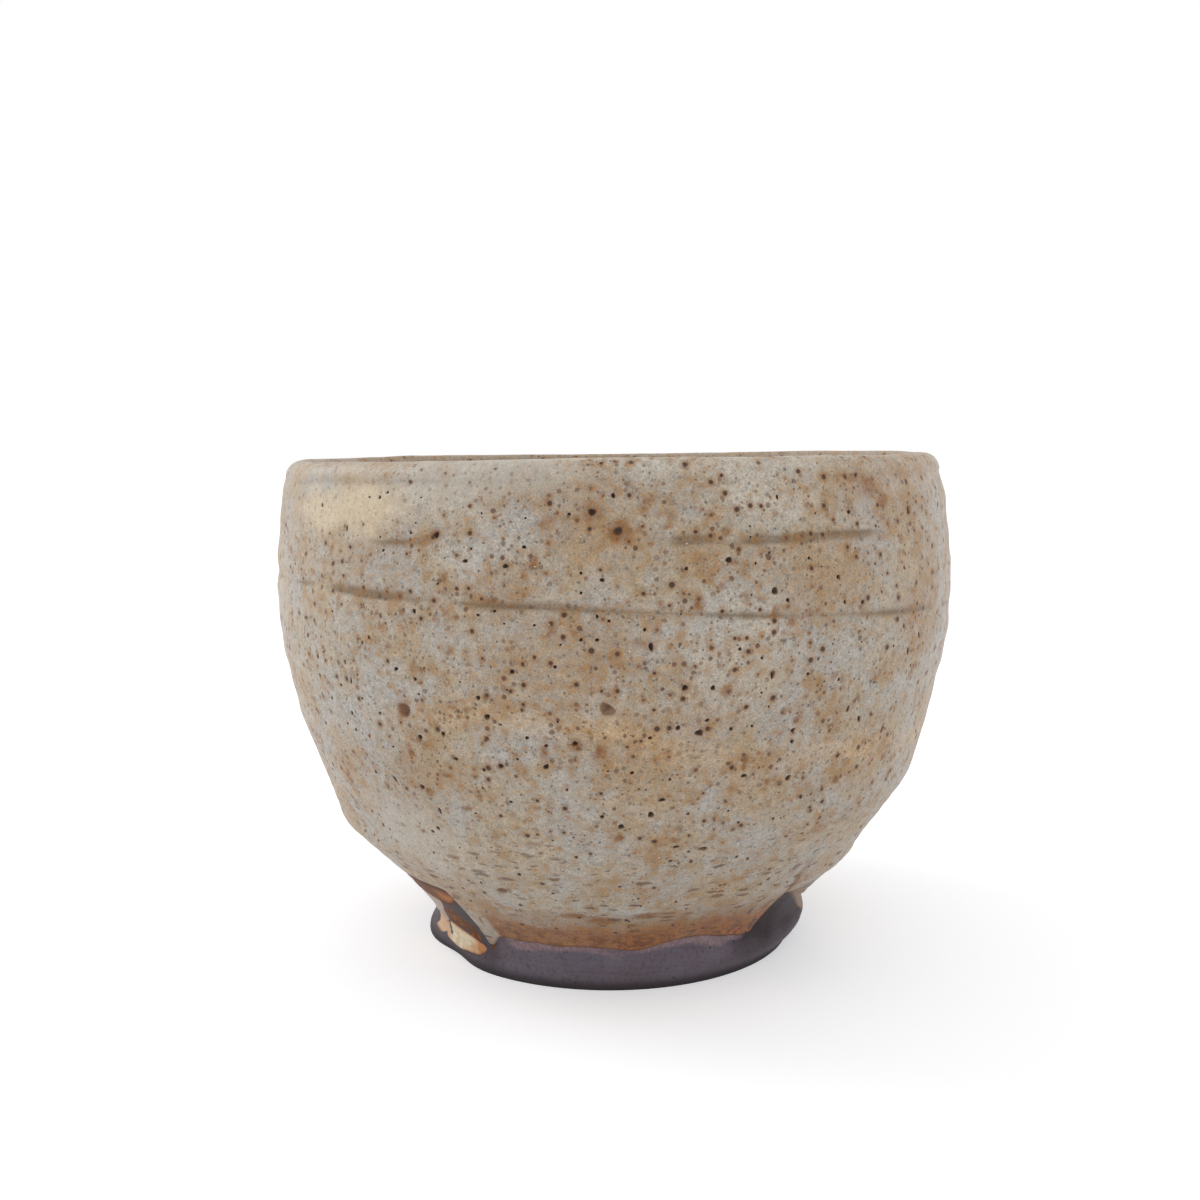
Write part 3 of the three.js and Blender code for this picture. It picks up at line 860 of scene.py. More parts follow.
def wall_height(share, angle):
    """Height on the wall before the lip's lift, at a share of the way from the glaze's edge to
    the lip's side: level rows that bend up over the finger marks and slant along the groove."""
    level = GLAZE_END_HEIGHT + WALL_SPAN * share
    drawn = (glaze_end(angle) + GLAZE_EDGE_HEIGHT - GLAZE_END_HEIGHT) * (1 - share) ** 4
    height, slant, side = GROOVES[-1][:3]
    near_groove = bell((level - height) / GROOVE_REACH)
    return level + drawn + slant * np.cos(angle - np.radians(side)) * near_groove


def wall_ring(share, angle):
    """Ring of the glazed wall, at the outside's radius less what the coat is thinner near its
    edge."""
    height = wall_height(share, angle)
    above_edge = (height - glaze_end(angle)) / GLAZE_THICKENING
    thinner = (GLAZE_THICKNESS - GLAZE_END_THICKNESS) * (1 - smooth(above_edge))
    return outside_radius(height, angle) - thinner, height


def wall_point(share, angle):
    """Point of the glazed wall, on the ring through it."""
    return point_at(*wall_ring(share, angle), angle)


def edge_ring(share, angle):
    """Ring of the glaze's rolled edge, a quarter round from the clay at share 0."""
    turn = share * np.pi / 2
    height = glaze_end(angle) + GLAZE_EDGE_HEIGHT * (1 - np.cos(turn))
    coat = GLAZE_END_THICKNESS * np.sin(turn) - GLAZE_EDGE_SINK * (1 - share)
    return outside_radius(height, angle) - GLAZE_THICKNESS + coat, height


def under_ring(share, angle):
    """Ring of the hidden side of the glaze, on the clay."""
    height = wall_height(share, angle)
    return outside_radius(height, angle) - GLAZE_THICKNESS - GLAZE_EDGE_SINK, height


# Places read from the photograph, each as pixel column and row, width and height in
# millimetres and tilt in degrees. These pits are open bubbles and slits in the glaze.
PIT_SIZE_SHARE = 0.85
PIT_PIXELS = [
    (592, 512, 1.0, 1.0, 0), (618, 531, 1.2, 1.2, 0), (775, 591, 1.0, 0.9, 20),
    (524, 547, 0.5, 0.5, 0), (505, 566, 0.55, 0.6, 0), (465, 561, 0.7, 0.5, 0),
    (602, 580, 0.55, 0.55, 0), (571, 487, 0.4, 0.4, 0), (609, 487, 0.4, 0.35, 0),
    (569, 514, 0.4, 0.4, 0), (436, 535, 0.9, 0.9, 0), (581, 573, 0.4, 0.4, 0),
    (581, 593, 0.4, 0.4, 0), (581, 640, 0.45, 0.45, 0), (414, 611, 0.5, 0.7, 20),
    (478, 615, 0.5, 0.35, 0), (396, 669, 0.8, 0.5, 20), (415, 679, 0.6, 0.5, -20),
    (412, 692, 0.6, 0.6, 0), (478, 698, 0.65, 0.6, 0), (512, 672, 0.65, 0.6, 0),
    (555, 667, 0.45, 0.45, 0), (543, 674, 0.9, 0.6, 20), (487, 717, 0.85, 0.7, 0),
    (404, 710, 2.0, 2.1, -30), (607, 710, 1.6, 2.4, 35), (631, 722, 0.5, 1.2, -15),
    (443, 734, 0.6, 0.7, 20), (490, 734, 0.45, 0.45, 0), (527, 738, 0.5, 0.5, 0),
    (420, 737, 0.8, 0.6, -30), (575, 744, 0.75, 0.7, 0), (546, 746, 0.5, 0.5, 0),
    (539, 757, 0.75, 0.6, 0), (546, 767, 0.8, 0.65, 30), (501, 766, 0.65, 0.6, 0),
    (484, 770, 0.5, 0.5, 0), (508, 778, 0.4, 0.35, 0), (456, 759, 0.6, 0.5, 0),
    (395, 779, 0.55, 1.1, 30), (422, 787, 0.9, 0.7, -20), (440, 811, 0.5, 1.0, 10),
    (849, 512, 0.6, 0.6, 0), (777, 497, 0.35, 0.7, 0), (729, 560, 0.8, 0.8, 0),
    (738, 560, 0.4, 0.4, 0), (725, 571, 0.5, 0.5, 0), (809, 558, 0.5, 0.4, 0),
    (845, 602, 0.5, 0.6, 0), (863, 602, 0.6, 0.6, 0), (609, 621, 0.4, 0.4, 0),
    (651, 647, 0.6, 1.1, 0), (740, 649, 0.45, 0.45, 0), (762, 658, 0.4, 0.4, 0),
    (772, 676, 0.45, 0.9, 10), (808, 674, 0.5, 0.5, 0), (848, 709, 0.6, 0.9, -15),
    (859, 719, 0.5, 1.1, 25), (882, 729, 0.6, 1.3, -10), (833, 728, 0.6, 0.8, 0),
    (793, 730, 0.8, 0.5, 20), (713, 688, 0.65, 0.6, 0), (685, 688, 0.8, 0.7, 0),
    (678, 728, 0.65, 0.6, 0), (699, 733, 1.05, 0.9, 0), (731, 729, 0.5, 0.5, 0),
    (752, 726, 0.4, 0.4, 0), (650, 738, 0.5, 0.45, 0), (744, 776, 0.85, 0.6, 0),
    (788, 778, 0.85, 0.8, 0), (632, 773, 0.5, 0.5, 0), (616, 775, 0.4, 0.35, 0),
    (511, 802, 0.5, 0.4, 0), (602, 817, 0.6, 0.5, 0), (621, 827, 0.85, 0.7, 0),
    (662, 800, 0.9, 0.5, 0), (651, 815, 0.9, 0.8, -30), (676, 847, 0.9, 0.5, 0),
    (703, 849, 1.3, 0.9, 0), (801, 797, 0.5, 0.7, 0), (620, 887, 0.7, 0.4, 0),
    (502, 891, 2.0, 1.2, 10), (318, 656, 0.5, 0.9, -15), (320, 675, 0.5, 0.6, -15),
    (308, 635, 0.5, 0.8, -15), (351, 681, 0.5, 0.8, -15), (345, 662, 0.45, 0.7, -15),
    (332, 698, 0.5, 0.5, 0), (352, 713, 0.5, 0.7, -15), (326, 723, 0.45, 0.6, -15),
    (347, 528, 0.45, 0.8, 0), (350, 547, 0.5, 0.5, 0), (908, 651, 0.6, 1.2, 10),
    (919, 635, 0.5, 1.0, 5), (904, 626, 0.4, 0.8, 5), (908, 510, 0.7, 1.0, 0),
    (886, 779, 0.6, 0.8, 0), (567, 790, 0.4, 0.4, 0), (688, 814, 0.4, 0.4, 0),
]

# Rust spots and smears on the glaze, read in the same way
STAIN_PIXELS = [
    (868, 487, 3.4, 2.4, 0), (882, 500, 2.2, 2.0, 0), (853, 478, 2.6, 1.2, 0),
    (646, 916, 4.0, 1.2, 0), (572, 916, 4.0, 1.0, 0), (602, 921, 5.0, 1.4, 0),
    (592, 512, 3.2, 2.6, 0), (618, 531, 3.0, 2.8, 0), (436, 535, 2.2, 1.6, 10),
    (338, 603, 0.9, 2.6, 0), (647, 501, 1.4, 0.7, 10), (666, 527, 1.6, 0.7, 15),
    (702, 510, 1.0, 0.6, 20), (908, 510, 1.2, 1.8, 0), (660, 604, 1.1, 1.1, 0),
    (651, 646, 1.0, 1.6, 0), (640, 643, 2.6, 1.0, 0), (818, 611, 1.1, 0.8, 0),
    (775, 612, 1.0, 1.6, 0), (727, 691, 1.4, 1.8, -30), (679, 709, 1.1, 0.9, 0),
    (685, 688, 1.2, 1.2, 0), (655, 688, 0.5, 0.5, 0), (404, 709, 2.2, 2.3, -30),
    (451, 705, 1.6, 1.0, 0), (491, 600, 2.4, 0.9, -10), (470, 596, 1.6, 0.7, -10),
    (443, 592, 2.0, 0.7, -10), (400, 594, 2.2, 0.8, 5), (352, 588, 1.6, 0.8, -8),
    (479, 797, 0.8, 1.6, 10), (466, 809, 1.8, 0.9, 10), (430, 792, 1.7, 1.0, 0),
    (449, 652, 1.1, 1.1, 0), (436, 620, 1.0, 1.6, 25), (388, 645, 1.4, 0.8, 30),
    (380, 625, 0.9, 1.4, 10), (552, 630, 1.2, 1.2, 0), (445, 774, 2.0, 0.9, -10),
    (620, 838, 1.2, 1.4, 0), (622, 857, 1.7, 0.5, 0), (569, 845, 0.4, 0.4, 0),
    (640, 878, 0.8, 0.4, 0), (421, 829, 1.6, 0.6, -30), (420, 740, 1.2, 1.0, 0),
    (797, 718, 0.9, 0.6, 0), (835, 675, 1.6, 0.8, 20), (863, 602, 0.8, 0.8, 0),
    (744, 766, 0.9, 1.5, 0), (710, 785, 1.0, 0.8, 0), (600, 752, 1.4, 1.8, 0),
    (577, 745, 1.5, 1.5, 0), (544, 752, 1.5, 1.6, 0), (735, 562, 1.5, 1.0, 0),
    (700, 604, 1.4, 2.2, 0), (533, 560, 1.2, 1.6, 15), (505, 584, 0.9, 1.1, 0),
    (526, 578, 0.7, 1.3, 10), (540, 525, 1.8, 0.8, 0), (481, 920, 0.6, 1.7, -25),
    (509, 890, 0.7, 1.2, -40), (495, 894, 1.0, 0.6, -25), (734, 914, 0.5, 1.6, 10),
    (741, 906, 1.4, 0.5, 30), (768, 904, 1.6, 0.8, 35),
]

# Orange spots in the glaze beside the right mark, read in the same way
EMBER_PIXELS = [
    (752, 925, 1.6, 1.6, 0), (757, 917, 1.2, 1.8, 20), (749, 912, 0.8, 1.4, 0),
    (738, 930, 2.2, 1.0, 0), (722, 932, 2.4, 0.8, 0), (700, 929, 2.0, 0.8, 0),
]
PHOTO_SIZE = 1200
RAY_REACHES = np.arange(125.0, 200.0, 0.03)
SHARE_CORRECTIONS = 12


def place_seen(pixels):
    """Angle and height of the cup's surface seen at pixels of the photograph. A point steps
    along each pixel's ray from the camera until it is inside the wall or the foot."""
    focal = CAMERA_FOCAL_LENGTH / SENSOR_WIDTH * PHOTO_SIZE
    across, upward = ((pixels - PHOTO_SIZE / 2) / focal * (1, -1)).T
    forward = np.cos(CAMERA_TILT_DOWN) + upward * np.sin(CAMERA_TILT_DOWN)
    raised = upward * np.cos(CAMERA_TILT_DOWN) - np.sin(CAMERA_TILT_DOWN)
    rays = np.stack([across, forward, raised], -1)
    points = CAMERA_PLACE + RAY_REACHES[None, :, None] * rays[:, None, :]
    angle = np.arctan2(points[..., 1], points[..., 0])
    height = points[..., 2] - lift(points[..., 2], angle)
    wall = outside_radius(np.clip(height, FOOT_HEIGHT, LIP_SIDE_HEIGHT), angle)
    foot = foot_radius(np.clip(height / FOOT_HEIGHT, 0, 1), angle)
    radius = np.where(height < FOOT_HEIGHT, foot, wall)
    first = np.argmax(np.hypot(points[..., 0], points[..., 1]) < radius, axis=1)
    each = np.arange(len(pixels))
    return angle[each, first], height[each, first]


def share_at(height, angle):
    """Share of the way up the wall whose rows pass a height at an angle: a few steps of
    correcting a first guess by what it misses."""
    share = (height - GLAZE_END_HEIGHT) / WALL_SPAN
    for _ in range(SHARE_CORRECTIONS):
        share = np.clip(share - (wall_height(share, angle) - height) / WALL_SPAN, 0, 1)
    return share


# Pit profile from the glaze round it to the middle of its floor: share of the pit's radius, and
# share of its depth
PIT_PROFILE = [(1.3, -0.04), (1.05, 0.05), (0.84, 0.45), (0.5, 0.9)]
PIT_DEPTH_SHARE = 0.75
PIT_DEPTH_LIMIT = 0.42
PIT_CLEARANCE = 0.05
PIT_STEP = 0.004
PIT_SEED = 40
SCATTERED_PITS = 640
SCATTERED_PIT_SIZES = (0.24, 0.55)
SCATTERED_PIT_SIZE_POWER = 2.5
SCATTERED_PIT_SHARES = (0.05, 0.985)
SCATTERED_PIT_FLATTENINGS = (0.75, 1.2)
SCATTERED_PIT_TILTS = (-40, 40)
LARGEST_PIT_BLOCK = 5
ROWS_FREE_OF_PITS = 3

glaze_rows = rows_of(
    GLAZE_COLUMNS,
    (edge_ring, np.linspace(0, 1, EDGE_ROWS + 1)[:-1]),
    (wall_ring, np.linspace(0, 1, WALL_ROWS)),
    (lip_ring, np.linspace(0, 1, LIP_ROWS + 1)[1:], LIP_OUTER_ROUNDING, 0),
    (lip_ring, (1.0, 0.7, 0.35), LIP_OUTER_ROUNDING, GLAZE_THICKNESS),
    (under_ring, np.linspace(1, 0.002, HIDDEN_ROWS)),
)
glaze_faces = grid_faces(len(glaze_rows), GLAZE_COLUMNS, True)
glaze_points = glaze_rows.reshape(-1, 3)

# A pit is a row of numbers: angle, share of the way up the wall, width, height and tilt
random = np.random.default_rng(PIT_SEED)
read_places = np.array(PIT_PIXELS, float)
seen_angle, seen_height = place_seen(read_places[:, :2])
read_pits = np.column_stack([
    seen_angle, share_at(seen_height, seen_angle), read_places[:, 2:4] * PIT_SIZE_SHARE,
    read_places[:, 4],
])
scatter_size = random.uniform(0, 1, SCATTERED_PITS) ** SCATTERED_PIT_SIZE_POWER
scatter_size = SCATTERED_PIT_SIZES[0] + np.ptp(SCATTERED_PIT_SIZES) * scatter_size
scattered_pits = np.column_stack([
    random.uniform(-np.pi, np.pi, SCATTERED_PITS),
    random.uniform(*SCATTERED_PIT_SHARES, SCATTERED_PITS),
    scatter_size,
    scatter_size * random.uniform(*SCATTERED_PIT_FLATTENINGS, SCATTERED_PITS),
    random.uniform(*SCATTERED_PIT_TILTS, SCATTERED_PITS),
])
pits = np.concatenate([read_pits, scattered_pits])
scattered = np.arange(len(pits)) >= len(read_pits)

# A pit takes a block of the wall's cells round its nearest grid point, to which a scattered pit
# is moved
pit_column = np.round(pits[:, 0] / (2 * np.pi) * GLAZE_COLUMNS).astype(int)
pit_row = np.round(pits[:, 1] * (WALL_ROWS - 1)).astype(int)
pit_radius = outside_radius(wall_height(pits[:, 1], pits[:, 0]), pits[:, 0])
cell_wide = 2 * np.pi * pit_radius / GLAZE_COLUMNS
cell_tall = WALL_SPAN / (WALL_ROWS - 1)
pit_reach = pits[:, 2:4].max(1) / 2 * PIT_PROFILE[0][0]
off_grid = np.where(scattered, 0, cell_wide / 2)
narrowest = np.minimum(cell_wide, cell_tall)
pit_block = np.ceil((pit_reach + off_grid + PIT_CLEARANCE) / narrowest).astype(int)
pits[scattered, 0] = pit_column[scattered] * 2 * np.pi / GLAZE_COLUMNS
pits[scattered, 1] = pit_row[scattered] / (WALL_ROWS - 1)

taken = np.zeros((WALL_ROWS, GLAZE_COLUMNS), bool)
kept = []
for pit in range(len(pits)):
    block, row, column = pit_block[pit], pit_row[pit], pit_column[pit]
    rows = np.arange(row - block, row + block)
    columns = np.arange(column - block, column + block) % GLAZE_COLUMNS
    clear = rows[0] >= ROWS_FREE_OF_PITS and rows[-1] <= WALL_ROWS - ROWS_FREE_OF_PITS
    fits = clear and block <= LARGEST_PIT_BLOCK
    if fits and not taken[np.ix_(rows, columns)].any():
        taken[np.ix_(rows, columns)] = True
        kept.append(pit)
kept = np.array(kept)


def pit_rings(block, chosen):
    """Rings of the pits that take blocks of one size, with how deep their points lie, and the
    middles of their floors. Round the edge of a block the grid's own points stay, and rings of
    as many points step in from them, each a tilted ellipse on the wall sunk by its share of the
    depth, with two and three soft lobes."""
    steps = np.arange(-block, block)
    edge = np.full(2 * block, block)
    round_right = np.concatenate([steps, edge, -steps, -edge])
    round_up = np.concatenate([-edge, steps, edge, -steps])
    edge_row = EDGE_ROWS + pit_row[chosen, None] + round_up
    edge_column = (pit_column[chosen, None] + round_right) % GLAZE_COLUMNS
    lobes = random.uniform(0, 2 * np.pi, (2, len(chosen), 1, 1))
    angle, share, width, tall, tilt = pits[chosen].T[..., None, None]
    turn = np.radians(tilt)
    facing = np.arctan2(round_up * cell_tall, round_right * cell_wide[chosen, None, None]) - turn
    middle = wall_point(share, angle)
    along = wall_point(share, angle + PIT_STEP) - middle
    climb = wall_point(share + PIT_STEP, angle) - middle
    inward = -np.cross(along, climb)
    inward /= np.linalg.norm(inward, axis=-1, keepdims=True)
    depth = np.minimum(PIT_DEPTH_SHARE * np.minimum(width, tall), PIT_DEPTH_LIMIT)
    darkness = 1 - 0.6 * smooth((np.sqrt(width * tall) - 0.6) / 0.7)
    reach, sunk = np.array(PIT_PROFILE).T[:, :, None]
    reach = reach * (1 + 0.1 * np.sin(2 * facing + lobes[0]) + 0.09 * np.sin(3 * facing + lobes[1]))
    right = reach * width / 2 * np.cos(facing)
    up = reach * tall / 2 * np.sin(facing)
    across = right * np.cos(turn) - up * np.sin(turn)
    above = right * np.sin(turn) + up * np.cos(turn)
    ring_share = share + above * PIT_STEP / np.linalg.norm(climb, axis=-1)
    ring_angle = angle + across * PIT_STEP / np.linalg.norm(along, axis=-1)
    points = wall_point(ring_share, ring_angle) + inward * (sunk * depth)[..., None]
    depths = np.broadcast_to(darkness * np.maximum(sunk, 0), points.shape[:3])
    floor = (middle + inward * depth[..., None]).reshape(-1, 3)
    return edge_row * GLAZE_COLUMNS + edge_column, points, depths, floor, darkness.ravel()


extra_points, extra_depths, faces = [], [], []
next_index = len(glaze_points)
for block in np.unique(pit_block[kept]):
    chosen = kept[pit_block[kept] == block]
    edge_index, points, depths, floor, darkness = pit_rings(block, chosen)
    ring_index = next_index + np.arange(depths.size).reshape(depths.shape)
    floor_index = next_index + depths.size + np.arange(len(chosen))
    next_index += depths.size + len(chosen)
    ladder = np.concatenate([edge_index[:, None, :], ring_index], axis=1)
    ahead = np.roll(ladder, -1, axis=2)
    quads = [ladder[:, :-1], ahead[:, :-1], ahead[:, 1:], ladder[:, 1:]]
    faces.append(np.stack(quads, -1).reshape(-1, 4))
    tips = np.broadcast_to(floor_index[:, None], edge_index.shape)
    faces.append(np.stack([ladder[:, -1], ahead[:, -1], tips], -1).reshape(-1, 3))
    extra_points += [points.reshape(-1, 3), floor]
    extra_depths += [depths.ravel(), darkness]

first_face = EDGE_ROWS * GLAZE_COLUMNS
open_faces = np.ones(len(glaze_faces), bool)
open_faces[first_face : first_face + taken.size] = ~taken.ravel()
faces.insert(0, glaze_faces[open_faces])
pit_depths = np.concatenate([np.zeros(len(glaze_points)), *extra_depths])
glaze_points = np.concatenate([glaze_points, *extra_points])
point_angle = np.arctan2(glaze_points[:, 1], glaze_points[:, 0])
point_degrees = np.degrees(point_angle) % 360
point_height = glaze_points[:, 2] - lift(glaze_points[:, 2], point_angle)
point_radius = np.hypot(glaze_points[:, 0], glaze_points[:, 1])


def soft_spots(pixels):
    """Soft tilted ovals at places read from the photograph: a bell curve of the distance."""
    depth = np.zeros(len(glaze_points))
    rows = np.array(pixels, float)
    seen_angle, seen_height = place_seen(rows[:, :2])
    for angle, height, (width, tall, tilt) in zip(seen_angle, seen_height, rows[:, 2:]):
        across = np.radians(turn_between(np.degrees(angle), point_degrees)) * point_radius
        above = point_height - height
        turn = np.radians(tilt)
        right = (across * np.cos(turn) + above * np.sin(turn)) / (width / 2)
        up = (above * np.cos(turn) - across * np.sin(turn)) / (tall / 2)
        depth = np.maximum(depth, bell(np.hypot(right, up)))
    return depth


# Soft areas of each tone: angle and height of the middle, half width in degrees, half height
TONE_AREAS = {
    "cream": [(231, 60.2, 8, 3.0), (220, 59.6, 8, 2.7)],
    "calm": [
        (222, 61, 26, 4.5), (250, 63.5, 14, 3.0), (232, 22, 12, 5), (20, 60, 30, 5),
        (140, 30, 20, 8),
    ],
    "ash": [
        (245, 62, 14, 4), (291, 60.5, 10, 3), (284, 64.5, 26, 1.8), (233, 21, 12, 6),
        (252, 55, 8, 3), (256, 64.6, 16, 2.6), (288, 46, 9, 7), (10, 60, 30, 5),
        (100, 58, 30, 5), (150, 24, 25, 8),
    ],
    "ochre": [
        (268, 58, 9, 5), (262, 44, 12, 6), (281, 55, 6, 3), (316, 61, 13, 5.5), (240, 30, 10, 4),
        (308, 62, 9, 3.5), (300, 52, 10, 6), (275, 35, 14, 5), (322, 47, 8, 7), (255, 51, 6, 4),
        (30, 48, 22, 9), (80, 38, 26, 8), (130, 55, 20, 6), (165, 34, 18, 8), (350, 30, 15, 7),
    ],
}
AREA_LUMPS = [(0.27, 5, 3, 51), (0.18, 2, 1.2, 52)]

# Pale streak round the front: angle and height of the points on its path
PEACH_PATH = [
    (225, 36.0), (250, 38.0), (269, 36.5), (280, 33.4), (290, 32.3), (304, 32.2), (326, 30.4),
    (345, 31.0),
]
PEACH_HALF_HEIGHT = 1.5
PEACH_LUMPS = [(0.5, 7, 3, 53)]

# Stain in the grooves and the brown band at the glaze's end, in spans as on the clay
GROOVE_STAIN_SPAN = (268, 316, 6, 10)
GROOVE_STAIN_HALF_WIDTH = 0.5
GROOVE_STAIN_PATCHES = (0.6, 5, 1)
END_BAND_SPANS = [(236.2, 315, 2, 5), (4, 188, 12, 12)]
END_BAND_LUMPS = [(0.35, 9, 1, 54)]


def areas(places):
    """Soft ovals of tone, whose distance from the middle is stretched by lumps."""
    tone = np.zeros(len(glaze_points))
    lump = lumps(point_angle, point_height, AREA_LUMPS)
    for middle, level, half_width, half_height in places:
        across = turn_between(middle, point_degrees) / half_width
        away = np.hypot(across, (point_height - level) / half_height)
        tone = np.maximum(tone, smooth(1.35 - away + lump))
    return tone


def peach_band():
    """A pale streak that falls round the front: a bell curve about its path, broken by lumps."""
    turn, level = np.array(PEACH_PATH).T
    away = (point_height - np.interp(point_degrees, turn, level)) / PEACH_HALF_HEIGHT
    ends = smooth((point_degrees - turn[0]) / 18) * smooth((turn[-1] - point_degrees) / 18)
    return bell(away) * ends * (0.75 + lumps(point_angle, point_height, PEACH_LUMPS))


def groove_stain():
    """Iron that gathered in the throwing grooves, a bell curve across each, in patches."""
    right = in_span(point_degrees, GROOVE_STAIN_SPAN)
    upper = 0.15 + 0.85 * np.maximum(bell((point_degrees - 240) / 7), right)
    lower = 0.85 + 0.4 * bell((point_degrees - 233) / 6) + 0.3 * bell((point_degrees - 251) / 4)
    stain = 0.0
    for groove, strength in zip(GROOVES, (upper, 0.35, lower)):
        away = (point_height - groove_middle(groove, point_angle)) / GROOVE_STAIN_HALF_WIDTH
        patches = 0.7 + lumps(point_angle, 0, [(*GROOVE_STAIN_PATCHES, round(groove[0]) + 3)])
        stain = np.maximum(stain, strength * bell(away) * np.clip(patches, 0.2, 1))
    return stain


def end_band():
    """How strong the brown band at the glaze's end is round the foot: it stops at the tongue of
    glaze beside the left mark, and at the right mark."""
    uneven = np.clip(0.95 + lumps(point_angle, 0, END_BAND_LUMPS), 0, 1)
    return uneven * np.maximum(*[in_span(point_degrees, span) for span in END_BAND_SPANS])


glaze_attributes = {
    "pit": pit_depths,
    "stain": soft_spots(STAIN_PIXELS),
    "ember": soft_spots(EMBER_PIXELS),
    **{tone: areas(places) for tone, places in TONE_AREAS.items()},
    "peach": peach_band(),
    "groove": groove_stain(),
    "above_edge": point_height - glaze_end(point_angle),
    "band": end_band(),
}

# Heights between which the looks of the turned cone, and of the lower wall, set in
TURNED_HEIGHTS = (27 * MILLIMETRE, 18 * MILLIMETRE)
LOWER_HEIGHTS = (42 * MILLIMETRE, 34 * MILLIMETRE)


